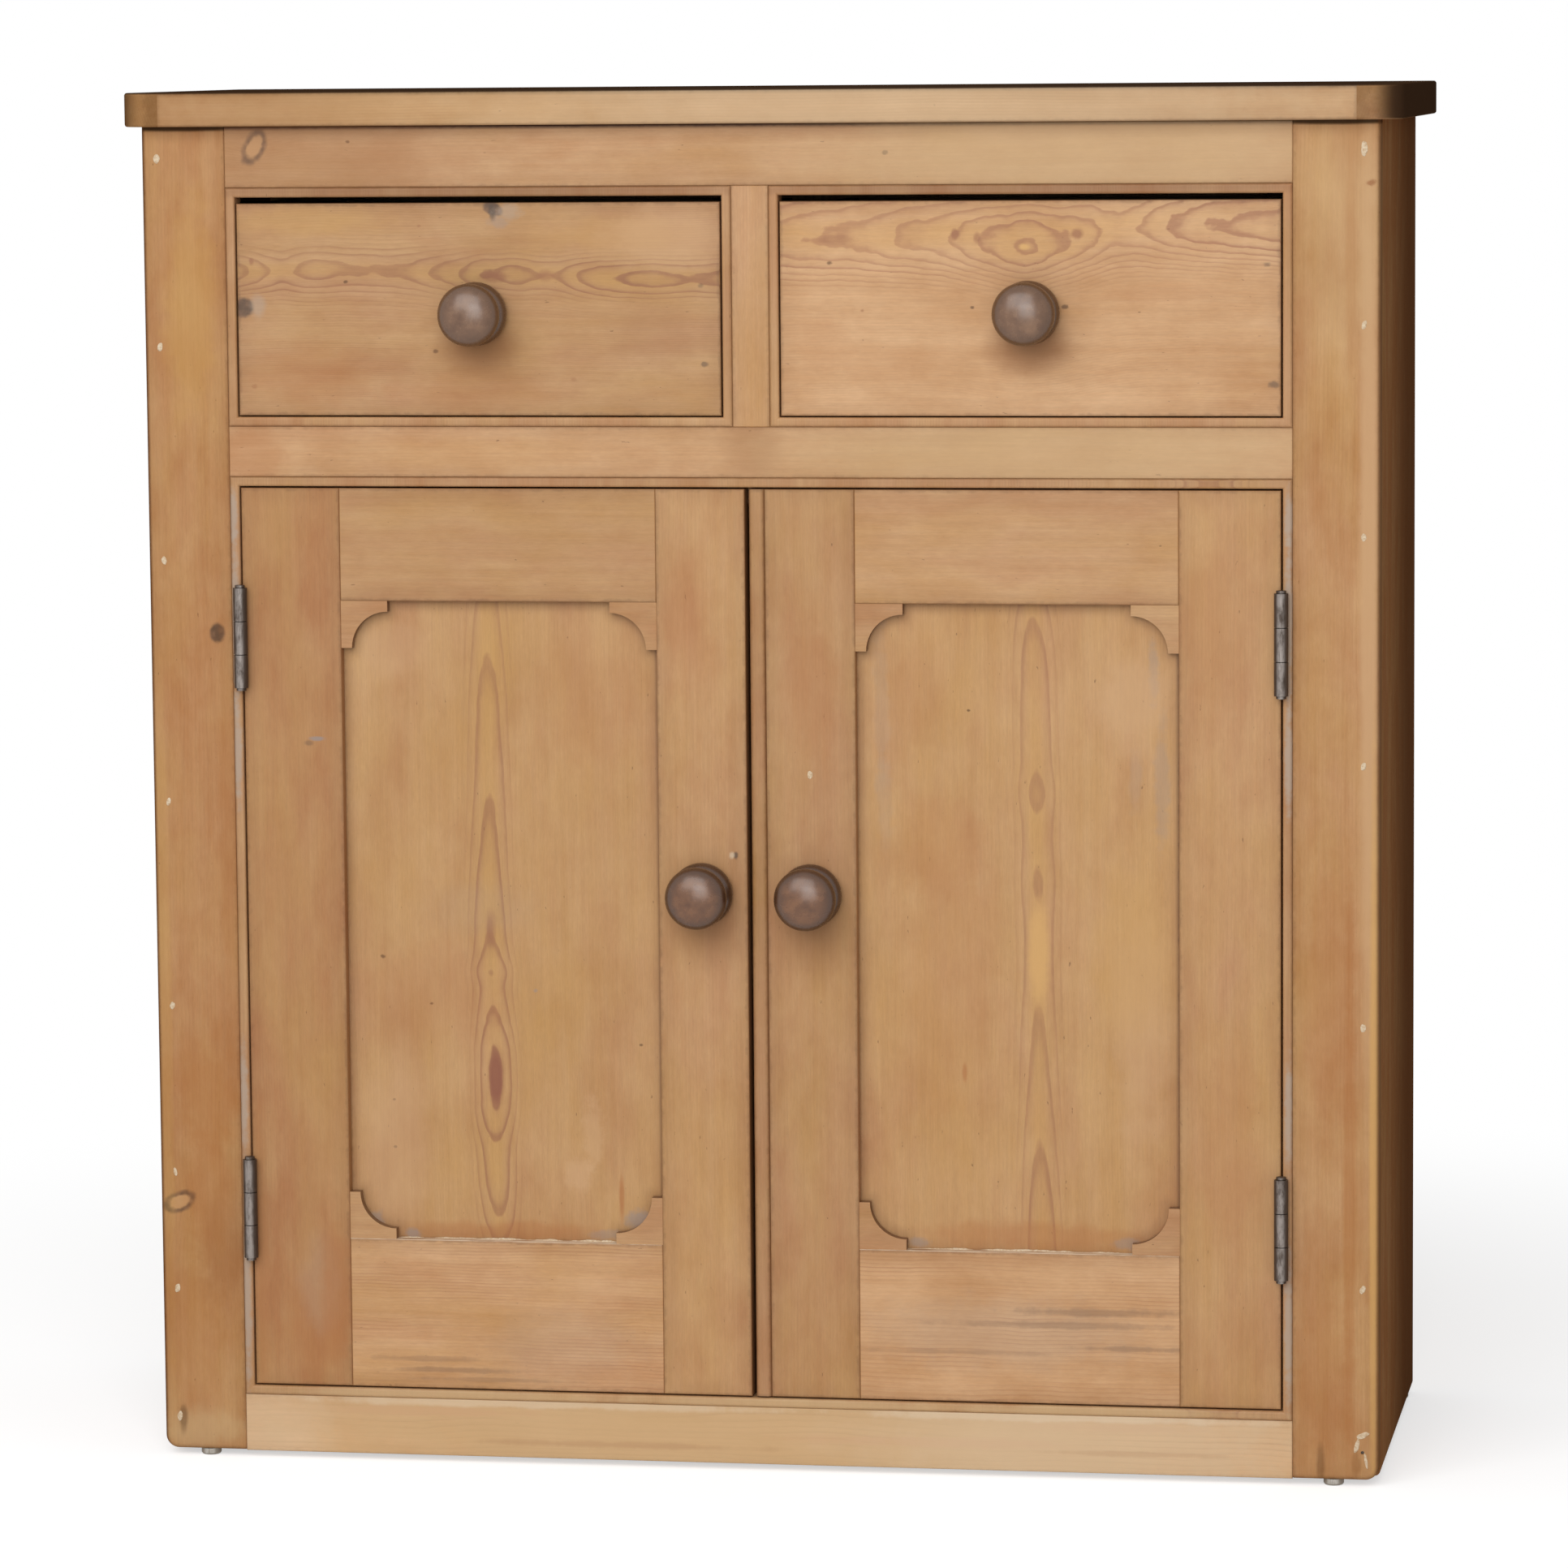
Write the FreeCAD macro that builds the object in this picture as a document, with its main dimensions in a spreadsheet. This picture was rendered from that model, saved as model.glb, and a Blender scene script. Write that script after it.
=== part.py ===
import FreeCAD, Part
import os
import re

# A stripped-pine jelly cupboard: two drawers over two panelled doors in a beaded
# face frame.  Millimetres, +Z up, front towards -Y.  The origin lies on the floor
# under the middle of the whole piece, knobs included.

SIZES = [
    # carcass
    ("body_width", 1095, "across the two stiles"),
    ("body_depth", 420, "face of the frame to the outside of the back"),
    ("side_thickness", 22, "side boards"),
    ("back_thickness", 12, "back boards"),
    ("back_lap", 10, "how far the back boards sit into the rebated sides"),
    ("back_board_count", 5, "tongued boards across the back"),
    ("back_board_gap", 0.6, "shrinkage gap between back boards"),
    ("tongue_length", 6, "tongue on each back board"),
    ("tongue_thickness", 4, "tongue on each back board"),
    ("housing_depth", 6, "housings for floor and shelf in the sides"),
    ("floor_thickness", 18, "cupboard floor"),
    ("shelf_thickness", 18, "cupboard shelf"),
    ("shelf_height", 370, "shelf underside above the floor"),
    ("shelf_setback", 35, "shelf edge behind the face frame"),
    ("side_foot_round", 5, "worn outer lower edge of the sides"),
    # top
    ("top_thickness", 30, "top boards"),
    ("top_side_overhang", 19, "beyond each side"),
    ("top_front_overhang", 15, "beyond the face frame"),
    ("top_end_width", 38.5, "cross-grained end of the top"),
    ("top_corner_radius", 37, "rounded front corners"),
    ("top_front_board_width", 232, "front board of the two that make the top"),
    ("top_arris", 2.5, "rounding along the edge of the top"),
    # face frame
    ("frame_thickness", 22, "stiles, rails and muntin"),
    ("stile_width", 75.5, "outer stiles"),
    ("top_rail_height", 54, "rail over the drawers"),
    ("drawer_bay_height", 210.5, "between top rail and mid rail"),
    ("mid_rail_height", 44.5, "rail between drawers and doors"),
    ("door_bay_height", 827.5, "between mid rail and bottom rail"),
    ("bottom_rail_height", 51.5, "rail under the doors"),
    ("muntin_width", 33, "upright between the drawers"),
    ("muntin_offset", -2, "the muntin stands a little left of centre"),
    ("bead_width", 8.5, "cock bead round each opening"),
    ("bead_proud", 1, "bead beyond the frame's face"),
    ("bead_round", 2.6, "rounding of the bead's nose"),
    ("arris", 1.2, "softened edges of frame and doors"),
    ("outer_arris", 5, "worn outer edge of each stile"),
    ("foot_round", 12, "worn outer foot of each stile"),
    ("overcut", 1, "how far a cutting tool starts outside the wood"),
    ("tenon_length", 28, "frame and door tenons"),
    ("tenon_thickness", 8, "all tenons of frame and doors"),
    ("tenon_setback", 6, "tenon behind the face"),
    ("tenon_shoulder", 8, "shoulder above and below each tenon"),
    ("muntin_tenon", 15, "tenons at the muntin's ends"),
    # drawer runners
    ("runner_thickness", 20, "runners that carry the drawers"),
    ("runner_lap", 10, "runner beyond the drawer side's inner face"),
    ("runner_gap", 0.3, "running gap under the drawer sides"),
    ("guide_height", 20, "guide above the runner"),
    ("back_rail_width", 22, "rail that carries the runners behind"),
    ("back_rail_height", 40, "its height"),
    ("kicker_width", 40, "bars that stop a drawer tipping"),
    ("kicker_gap", 8, "above the drawer sides"),
    ("stop_width", 70, "block that both doors close against"),
    ("stop_thickness", 22, "front to back"),
    ("stop_drop", 14, "block below the head of the doors"),
    ("stop_gap", 0.5, "between block and closed doors"),
    # drawers
    ("drawer_side_gap", 1.5, "front inside the bead, each side"),
    ("drawer_foot_gap", 1.2, "front above the bead"),
    ("drawer_head_gap", 5.5, "shrinkage gap over the front"),
    ("drawer_end_gap", 23, "between the drawer's back and the back boards"),
    ("drawer_front_thickness", 22, "flush front board"),
    ("drawer_side_thickness", 12, "sides of the box"),
    ("drawer_back_thickness", 12, "back of the box"),
    ("drawer_side_drop", 6, "sides lower than the front"),
    ("drawer_lap", 14, "sides lapped into the front"),
    ("drawer_bottom_thickness", 7, "board let into the grooves"),
    ("drawer_bottom_raise", 8, "bottom above the sides' lower edge"),
    ("drawer_groove", 6, "groove for the bottom"),
    # doors
    ("door_thickness", 21.5, "stiles and rails of the doors"),
    ("door_side_gap", 1.5, "hinge side"),
    ("door_end_gap", 1.5, "head and foot"),
    ("door_meeting_gap", 3.5, "between the doors"),
    ("meeting_bead_width", 14.5, "bead planted on the right door"),
    ("meeting_bead_round", 5, "rounding of the planted bead"),
    ("hanging_stile_width", 89, "stile on the hinge side"),
    ("meeting_stile_width", 79.5, "stile beside the other door"),
    ("door_top_rail", 100, "height of the head rail"),
    ("door_bottom_rail", 134.5, "height of the foot rail"),
    ("panel_thickness", 7, "flat panel"),
    ("panel_cheek", 4, "wood behind the panel's groove"),
    ("panel_groove", 8, "groove in stiles and rails"),
    ("panel_play", 2, "room for the panel to swell"),
    ("bracket_leg", 42, "spandrel bracket in each panel corner"),
    ("bracket_end", 9.5, "square end of a bracket's leg"),
    ("bracket_setback", 1, "bracket behind the door's face"),
    # knobs
    ("knob_projection", 54, "knob in front of its board"),
    ("ring_radius", 28, "turned ring against the board"),
    ("ring_thickness", 21, "ring, board to groove"),
    ("ring_flat", 0.6, "half the flat left between the ring's rounded edges"),
    ("neck_radius", 22, "groove between ring and bun"),
    ("bun_radius", 27.5, "domed front of the knob"),
    ("bun_half_depth", 15, "half the bun, front to back"),
    ("spigot_radius", 6, "glued into the board"),
    ("spigot_clearance", 0.05, "round the spigot"),
    ("drawer_knob_drop", 3.5, "below the middle of the drawer front"),
    ("door_knob_height", 450.5, "above the door's foot"),
    ("door_knob_inset", 39.5, "from the meeting edge of the leaf"),
    # hinges
    ("hinge_length", 89, "along the pin"),
    ("leaf_thickness", 2, "plate of a leaf"),
    ("leaf_margin", 3, "wood left behind a leaf"),
    ("leaf_gap", 0.4, "between the closed leaves"),
    ("knuckle_radius", 6.2, "rolled knuckles"),
    ("knuckle_gap", 0.7, "between knuckles"),
    ("knuckle_standoff", 0.8, "knuckles in front of the frame's face"),
    ("pin_radius", 2.4, "loose in the knuckles"),
    ("pin_clearance", 0.05, "round the pin"),
    ("pin_overrun", 2.5, "pin beyond the end knuckles"),
    ("pin_head_radius", 4.4, "heads that keep the pin in"),
    ("upper_hinge_drop", 133, "hinge centre below the door's head"),
    ("lower_hinge_rise", 161, "hinge centre above the door's foot"),
    ("screw_pitch", 28, "three screws to a leaf"),
    ("screw_length", 18, "from the leaf into the wood"),
    ("screw_radius", 1.7, "shank"),
    ("screw_head_radius", 3.4, "countersunk head"),
    ("screw_clearance", 0.1, "round the screws"),
    # nails and glides
    ("nail_inset", 14, "nail line from the stile's outer edge"),
    ("nail_radius", 1.5, "cut nails, drawn round"),
    ("nail_length", 42, "through the stile into the side"),
    ("nail_sink", 2, "head below the face, filled with putty"),
    ("nail_clearance", 0.05, "round the nails"),
    ("glide_height", 6, "domed glides under the carcass"),
    ("glide_radius", 9, "disc"),
    ("glide_round", 2.5, "rounded lower edge"),
    ("glide_inset", 40, "front glide from the stile's outer edge"),
    ("glide_back_inset", 30, "rear glide from the back"),
]

VALUE = {alias: number for alias, number, note in SIZES}

# Places and lengths that follow from the sizes.
DERIVED = {
    "half_width": "body_width / 2",
    "front_y": "(knob_projection - body_depth) / 2",
    "back_y": "front_y + body_depth",
    "frame_back": "front_y + frame_thickness",
    "back_inner": "back_y - back_thickness",
    "side_inner": "half_width - side_thickness",
    "stile_inner": "half_width - stile_width",
    "opening_half": "stile_inner - bead_width",
    "base_z": "glide_height",
    "door_bay_low": "base_z + bottom_rail_height",
    "door_bay_high": "door_bay_low + door_bay_height",
    "drawer_bay_low": "door_bay_high + mid_rail_height",
    "drawer_bay_high": "drawer_bay_low + drawer_bay_height",
    "top_z": "drawer_bay_high + top_rail_height",
    "muntin_low": "muntin_offset - muntin_width / 2",
    "muntin_high": "muntin_offset + muntin_width / 2",
    "back_half": "side_inner + back_lap",
    "board_pitch": "2 * back_half / back_board_count",
    "floor_top": "door_bay_low + bead_width",
    "shelf_low": "floor_top + shelf_height",
    "top_inner": "half_width + top_side_overhang - top_end_width",
    "top_front": "front_y - top_front_overhang",
    "top_joint": "top_front + top_front_board_width",
    # drawers
    "drawer_low": "drawer_bay_low + bead_width + drawer_foot_gap",
    "drawer_high": "drawer_bay_high - bead_width - drawer_head_gap",
    "drawer_side_high": "drawer_high - drawer_side_drop",
    "drawer_back_y": "back_inner - drawer_end_gap",
    "drawer_floor_low": "drawer_low + drawer_bottom_raise",
    "drawer_floor_high": "drawer_floor_low + drawer_bottom_thickness",
    "drawer_reach": "drawer_side_gap + drawer_side_thickness + runner_lap",
    "runner_top": "drawer_low - runner_gap",
    "runner_low": "runner_top - runner_thickness",
    # doors
    "door_low": "floor_top + door_end_gap",
    "door_high": "door_bay_high - bead_width - door_end_gap",
    "door_outer": "opening_half - door_side_gap",
    "leaf_width": "(2 * door_outer - door_meeting_gap - meeting_bead_width) / 2",
    "door_inner": "door_outer - leaf_width",
    "panel_low": "door_low + door_bottom_rail",
    "panel_high": "door_high - door_top_rail",
    "door_back": "front_y + door_thickness",
    "panel_back": "door_back - panel_cheek",
    "panel_face": "panel_back - panel_thickness",
    "panel_edge": "panel_groove - panel_play",
    # hinges
    "pin_x": "opening_half - door_side_gap / 2",
    "pin_y": "front_y - knuckle_radius - knuckle_standoff",
    "leaf_back": "door_back - leaf_margin",
    "knuckle_pitch": "hinge_length / 3",
}

# Height of the nails up each stile, as parts of the stile's length.
LEFT_NAILS = (0.025, 0.124, 0.213, 0.340, 0.495, 0.677, 0.837, 0.977)
RIGHT_NAILS = (0.021, 0.143, 0.338, 0.530, 0.698, 0.852, 0.979)

TOUCH = 1e-6
MITRE_TURNS = (0, -90, 180, 90)
LEFT, RIGHT = -1, 1
SIDE_NAME = {LEFT: "left", RIGHT: "right"}

doc = FreeCAD.newDocument("jelly_cupboard")
sheet = doc.addObject("Spreadsheet::Sheet", "dims")
nodes = []


def fill_sheet():
    """One row for each driving size: its name, its number and what it is."""
    for row, (alias, number, note) in enumerate(SIZES, start=1):
        sheet.set(f"A{row}", alias)
        sheet.set(f"B{row}", str(number))
        sheet.set(f"C{row}", note)
        sheet.setAlias(f"B{row}", alias)
    doc.recompute()


def bound(text):
    """Spell out derived places and point every size at its cell in the sheet."""
    def swap(match):
        word = match.group(0)
        if word in ("min", "max"):
            return word
        if word in DERIVED:
            return "(" + bound(DERIVED[word]) + ")"
        return "dims." + word
    return re.sub(r"[a-z]+(?:_[a-z]+)*", swap, text)


def bind(thing, **expressions):
    """Bind properties of an object; base_x and the like mean its placement."""
    for name, text in expressions.items():
        path = "Placement.Base." + name[-1] if name.startswith("base_") else name
        thing.setExpression(path, bound(text))


def keep(thing, label):
    """Name a finished piece and put it on the list of nodes to write."""
    thing.Label = label
    nodes.append(thing)


def across(side, inner, outer):
    """Low and high x of a piece that lies between two distances from the middle."""
    if side == RIGHT:
        return inner, outer
    return f"-({outer})", f"-({inner})"


# ---------------------------------------------------------------- solid makers

def span_box(box, low, high):
    """Bind a box's sides and corner so that it fills the space between two corners."""
    bind(box, Length=f"({high[0]}) - ({low[0]})", Width=f"({high[1]}) - ({low[1]})",
         Height=f"({high[2]}) - ({low[2]})", base_x=low[0], base_y=low[1], base_z=low[2])


def block(body, low, high, cut=False):
    """Add or cut a square block between two corners."""
    kind = "PartDesign::SubtractiveBox" if cut else "PartDesign::AdditiveBox"
    span_box(body.newObject(kind, "block"), low, high)


def soften(body, size, *picks, also=()):
    """Round the edges of a body that satisfy each pick, or each pick of also."""
    doc.recompute()
    box = body.Shape.BoundBox
    names = []
    for count, edge in enumerate(body.Shape.Edges, start=1):
        points = [vertex.Point for vertex in edge.Vertexes]
        for chosen in filter(None, (picks, also)):
            if all(pick(point, box) for point in points for pick in chosen):
                names.append(f"Edge{count}")
    tip = body.Tip
    fillet = body.newObject("PartDesign::Fillet", "softened")
    fillet.Base = (tip, names)
    bind(fillet, Radius=size)
    doc.recompute()


def at_front(point, box):
    return abs(point.y - box.YMin) < TOUCH


def at_foot(point, box):
    return abs(point.z - box.ZMin) < TOUCH


def at_left(point, box):
    return abs(point.x - box.XMin) < TOUCH


def at_right(point, box):
    return abs(point.x - box.XMax) < TOUCH


def at_head(point, box):
    return abs(point.z - box.ZMax) < TOUCH


def at_left_rim(point, box):
    return at_front(point, box) or at_left(point, box)


def at_right_rim(point, box):
    return at_front(point, box) or at_right(point, box)


AT_SIDE = {LEFT: at_left, RIGHT: at_right}
AT_RIM = {LEFT: at_left_rim, RIGHT: at_right_rim}


def board(label, low, high, added=(), cuts=()):
    """A board with any tenons added and any mortises, grooves and housings cut."""
    body = doc.addObject("PartDesign::Body", label + "_body")
    block(body, low, high)
    for corners in added:
        block(body, *corners)
    for corners in cuts:
        block(body, *corners, cut=True)
    return body


def rod(name, radius, length, centre, turn):
    """A cylinder from a centre, turned from +Z by a rotation."""
    cylinder = doc.addObject("Part::Cylinder", name)
    cylinder.Placement = FreeCAD.Placement(FreeCAD.Vector(), turn)
    bind(cylinder, Radius=radius, Height=length,
         base_x=centre[0], base_y=centre[1], base_z=centre[2])
    return cylinder


def group(name, pieces):
    compound = doc.addObject("Part::Compound", name)
    compound.Links = pieces
    return compound


def fused(name, pieces):
    fusion = doc.addObject("Part::MultiFuse", name)
    fusion.Shapes = pieces
    return fusion


def less(name, base, tool):
    cut = doc.addObject("Part::Cut", name)
    cut.Base = base
    cut.Tool = tool
    return cut


INWARD = FreeCAD.Rotation(FreeCAD.Vector(1, 0, 0), -90)
OUTWARD = FreeCAD.Rotation(FreeCAD.Vector(1, 0, 0), 90)
UPRIGHT = FreeCAD.Rotation()
SIDEWAYS = {LEFT: FreeCAD.Rotation(FreeCAD.Vector(0, 1, 0), -90),
            RIGHT: FreeCAD.Rotation(FreeCAD.Vector(0, 1, 0), 90)}


# ---------------------------------------------------------------- face frame

def tenons(low_x, high_x, low_z, high_z, length="tenon_length"):
    """One bar through a rail whose two ends are its tenons."""
    face = "front_y + tenon_setback"
    return ((f"{low_x} - {length}", face, f"{low_z} + tenon_shoulder"),
            (f"{high_x} + {length}", f"{face} + tenon_thickness", f"{high_z} - tenon_shoulder"))


RAIL_SPANS = {
    "top_rail": ("drawer_bay_high", "top_z"),
    "mid_rail": ("door_bay_high", "drawer_bay_low"),
    "bottom_rail": ("base_z", "door_bay_low"),
}
RAIL_TENONS = {name: tenons("-stile_inner", "stile_inner", *span)
               for name, span in RAIL_SPANS.items()}
MUNTIN_TENON = (("muntin_low + tenon_shoulder", "front_y + tenon_setback", "drawer_bay_low - muntin_tenon"),
                ("muntin_high - tenon_shoulder", "front_y + tenon_setback + tenon_thickness",
                 "drawer_bay_high + muntin_tenon"))


def make_rails():
    for name, (low_z, high_z) in RAIL_SPANS.items():
        mortise = () if name == "bottom_rail" else (MUNTIN_TENON,)
        rail = board(name, ("-stile_inner", "front_y", low_z), ("stile_inner", "frame_back", high_z),
                     added=(RAIL_TENONS[name],), cuts=mortise)
        soften(rail, "arris", at_front)
        keep(rail, name)
    muntin = board("drawer_muntin", ("muntin_low", "front_y", "drawer_bay_low"),
                   ("muntin_high", "frame_back", "drawer_bay_high"), added=(MUNTIN_TENON,))
    soften(muntin, "arris", at_front)
    keep(muntin, "drawer_muntin")


def nail_rods(side, radius, low_y, length):
    """The line of nails that holds a stile to its side board."""
    heights = LEFT_NAILS if side == LEFT else RIGHT_NAILS
    x = f"{side} * (half_width - nail_inset)"
    return [rod("nail", radius, length, (x, low_y, f"base_z + {part} * (top_z - base_z)"), INWARD)
            for part in heights]


def nail_holes(side):
    """Holes that run from in front of the stile to just past the nail's point."""
    return group("nail_holes", nail_rods(side, "nail_radius + nail_clearance", "front_y - overcut",
                                         "nail_length + nail_sink + overcut"))


def glide_places(side):
    """Centres of the front and rear glides of one side."""
    return ((f"{side} * (half_width - glide_inset)", "front_y + frame_thickness / 2"),
            (f"{side} * (half_width - side_thickness / 2)", "back_y - glide_back_inset"))


def make_sides_and_stiles():
    for side in (LEFT, RIGHT):
        name = SIDE_NAME[side]
        low_x, high_x = across(side, "stile_inner", "half_width")
        stile = board("stile_" + name, (low_x, "front_y", "base_z"), (high_x, "frame_back", "top_z"),
                      cuts=RAIL_TENONS.values())
        soften(stile, "foot_round", at_foot, AT_SIDE[side])
        soften(stile, "outer_arris", at_front, AT_SIDE[side])
        soften(stile, "arris", at_front, AT_SIDE[-side])
        screws = group("frame_screw_holes_" + name, hinge_screw_holes(side, side))
        drilled = less("stile_screwed_" + name, stile, screws)
        keep(less("stile_cut_" + name, drilled, nail_holes(side)), "stile_" + name)

        low_x, high_x = across(side, "side_inner", "half_width")
        floor_low, floor_high = floor_corners()
        shelf_low, shelf_high = shelf_corners()
        rebate_low, rebate_high = across(side, "side_inner", "back_half")
        rebate = ((rebate_low, "back_inner", "base_z"), (rebate_high, "back_y", "top_z"))
        plank = board("side_" + name, (low_x, "frame_back", "base_z"), (high_x, "back_y", "top_z"),
                      cuts=((floor_low, floor_high), (shelf_low, shelf_high), rebate))
        soften(plank, "side_foot_round", at_foot, AT_SIDE[side])
        keep(less("side_cut_" + name, plank, nail_holes(side)), "side_" + name)
    nails = [nail for side in (LEFT, RIGHT)
             for nail in nail_rods(side, "nail_radius", "front_y + nail_sink", "nail_length")]
    keep(group("nails", nails), "stile_nails")


def bead_strips(name, low_x, high_x, low_z, high_z):
    """Four mitred strips of rounded bead lining one opening of the frame."""
    width, height = f"({high_x}) - ({low_x})", f"({high_z}) - ({low_z})"
    corners = ((low_x, low_z, width), (high_x, low_z, height),
               (high_x, high_z, width), (low_x, high_z, height))
    strips = []
    for turn, (x, z, length) in zip(MITRE_TURNS, corners):
        body = doc.addObject("PartDesign::Body", name + "_strip")
        wedge = body.newObject("PartDesign::AdditiveWedge", "strip")
        bind(wedge, Xmin="0", Xmax=length, X2min="bead_width", X2max=f"{length} - bead_width",
             Ymin="0", Ymax="bead_width", Zmin="-frame_thickness", Zmax="bead_proud",
             Z2min="-frame_thickness", Z2max="bead_proud")
        doc.recompute()
        nose = [f"Edge{count}" for count, edge in enumerate(body.Shape.Edges, start=1)
                if is_nose(edge, body.Shape.BoundBox)]
        rounded = body.newObject("PartDesign::Fillet", "nose")
        rounded.Base = (wedge, nose)
        bind(rounded, Radius="bead_round")
        spin = FreeCAD.Rotation(FreeCAD.Vector(0, 1, 0), turn).multiply(OUTWARD)
        body.Placement = FreeCAD.Placement(FreeCAD.Vector(), spin)
        bind(body, base_x=x, base_y="front_y", base_z=z)
        strips.append(body)
    return strips


def is_nose(edge, box):
    """A long front edge of a strip that still lies flat on its side."""
    first, last = (vertex.Point for vertex in edge.Vertexes)
    level = abs(first.z - box.ZMax) < TOUCH and abs(last.z - box.ZMax) < TOUCH
    return level and abs(first.y - last.y) < TOUCH


def make_beads():
    left = bead_strips("bead_left", "-stile_inner", "muntin_low", "drawer_bay_low", "drawer_bay_high")
    keep(group("bead_left", left), "drawer_bead_left")
    right = bead_strips("bead_right", "muntin_high", "stile_inner", "drawer_bay_low", "drawer_bay_high")
    keep(group("bead_right", right), "drawer_bead_right")
    strips = bead_strips("bead_doors", "-stile_inner", "stile_inner", "door_bay_low", "door_bay_high")
    recesses = [piece for side in (LEFT, RIGHT) for piece in leaf_recesses(side, side)]
    holes = [piece for side in (LEFT, RIGHT) for piece in hinge_screw_holes(side, side)]
    cut = less("bead_doors_recessed", group("bead_doors", strips), group("bead_recesses", recesses))
    keep(less("bead_doors_drilled", cut, group("bead_holes", holes)), "door_bead")


# ---------------------------------------------------------------- carcass inside

def floor_corners():
    return (("-side_inner - housing_depth", "frame_back", "floor_top - floor_thickness"),
            ("side_inner + housing_depth", "back_inner", "floor_top"))


def shelf_corners():
    return (("-side_inner - housing_depth", "frame_back + shelf_setback", "shelf_low"),
            ("side_inner + housing_depth", "back_inner", "shelf_low + shelf_thickness"))


def make_floor_and_shelf():
    keep(board("cupboard_floor", *floor_corners()), "cupboard_floor")
    shelf = board("cupboard_shelf", *shelf_corners())
    soften(shelf, "arris", at_front)
    keep(shelf, "cupboard_shelf")


def make_back():
    """Upright tongued boards nailed into the rebates of the sides."""
    count = int(VALUE["back_board_count"])
    middle = "back_y - back_thickness / 2"
    tongue_low, tongue_high = f"{middle} - tongue_thickness / 2", f"{middle} + tongue_thickness / 2"
    boards = []
    for number in range(count):
        low_x = f"-back_half + {number} * board_pitch"
        high_x = f"-back_half + {number + 1} * board_pitch"
        tongue, groove = (), ()
        if number < count - 1:
            high_x += " - back_board_gap"
            tongue = (((high_x, tongue_low, "base_z"),
                       (f"{high_x} + tongue_length", tongue_high, "top_z")),)
        if number > 0:
            groove = (((low_x, tongue_low, "base_z"),
                       (f"{low_x} + tongue_length", tongue_high, "top_z")),)
        boards.append(board("back_board", (low_x, "back_inner", "base_z"),
                            (high_x, "back_y", "top_z"), added=tongue, cuts=groove))
    keep(group("back", boards), "back_boards")


def make_top():
    """Two boards side by side between two cross-grained ends with round corners."""
    head = "top_z + top_thickness"
    front = board("top_board_front", ("-top_inner", "top_front", "top_z"), ("top_inner", "top_joint", head))
    soften(front, "top_arris", at_front, at_head, also=(at_front, at_foot))
    keep(front, "top_board_front")
    keep(board("top_board_rear", ("-top_inner", "top_joint", "top_z"), ("top_inner", "back_y", head)),
         "top_board_rear")
    for side in (LEFT, RIGHT):
        low_x, high_x = across(side, "top_inner", "half_width + top_side_overhang")
        end = board("top_end_" + SIDE_NAME[side], (low_x, "top_front", "top_z"), (high_x, "back_y", head))
        soften(end, "min(top_corner_radius; top_end_width - top_arris / 2)", at_front, AT_SIDE[side])
        soften(end, "top_arris", AT_RIM[side], at_head, also=(AT_RIM[side], at_foot))
        keep(end, "top_end_" + SIDE_NAME[side])


def make_runners():
    """Runners with guides beside each drawer, the rail behind, kickers and the stop."""
    for side in (LEFT, RIGHT):
        low_x, high_x = across(side, "opening_half - drawer_reach", "side_inner")
        guide_low, guide_high = across(side, "opening_half", "side_inner")
        guide = ((guide_low, "frame_back", "runner_top"),
                 (guide_high, "back_inner", "runner_top + guide_height"))
        runner = board("runner_" + SIDE_NAME[side], (low_x, "frame_back", "runner_low"),
                       (high_x, "back_inner", "runner_top"), added=(guide,))
        keep(runner, "runner_" + SIDE_NAME[side])
    low_x, high_x = "muntin_low - bead_width", "muntin_high + bead_width"
    guide = ((low_x, "frame_back", "runner_top"), (high_x, "back_inner", "runner_top + guide_height"))
    keep(board("runner_centre", (f"{low_x} - drawer_reach", "frame_back", "runner_low"),
               (f"{high_x} + drawer_reach", "back_inner", "runner_top"), added=(guide,)), "runner_centre")
    rail_low = ("-side_inner", "back_inner - back_rail_width", "runner_low - back_rail_height")
    keep(board("runner_back_rail", rail_low, ("side_inner", "back_inner", "runner_low")), "runner_back_rail")
    reach = "drawer_side_gap + drawer_side_thickness / 2"
    places = (f"-opening_half + {reach}", "muntin_offset", f"opening_half - {reach}")
    kickers = [board("kicker", (f"{x} - kicker_width / 2", "frame_back", "drawer_side_high + kicker_gap"),
                     (f"{x} + kicker_width / 2", "back_inner", "top_z")) for x in places]
    keep(group("kickers", kickers), "drawer_kickers")
    stop_front = "max(frame_back; door_back + stop_gap)"
    keep(board("door_stop", ("muntin_offset - stop_width / 2", stop_front, "door_high - stop_drop"),
               ("muntin_offset + stop_width / 2", f"{stop_front} + stop_thickness", "runner_low")),
         "door_stop")


def make_glides():
    glides = []
    for side in (LEFT, RIGHT):
        for x, y in glide_places(side):
            body = doc.addObject("PartDesign::Body", "glide")
            disc = body.newObject("PartDesign::AdditiveCylinder", "disc")
            bind(disc, Radius="glide_radius", Height="glide_height")
            soften(body, "glide_round", at_foot)
            bind(body, base_x=x, base_y=y)
            glides.append(body)
    keep(group("glide_set", glides), "glides")


# ---------------------------------------------------------------- knobs

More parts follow.
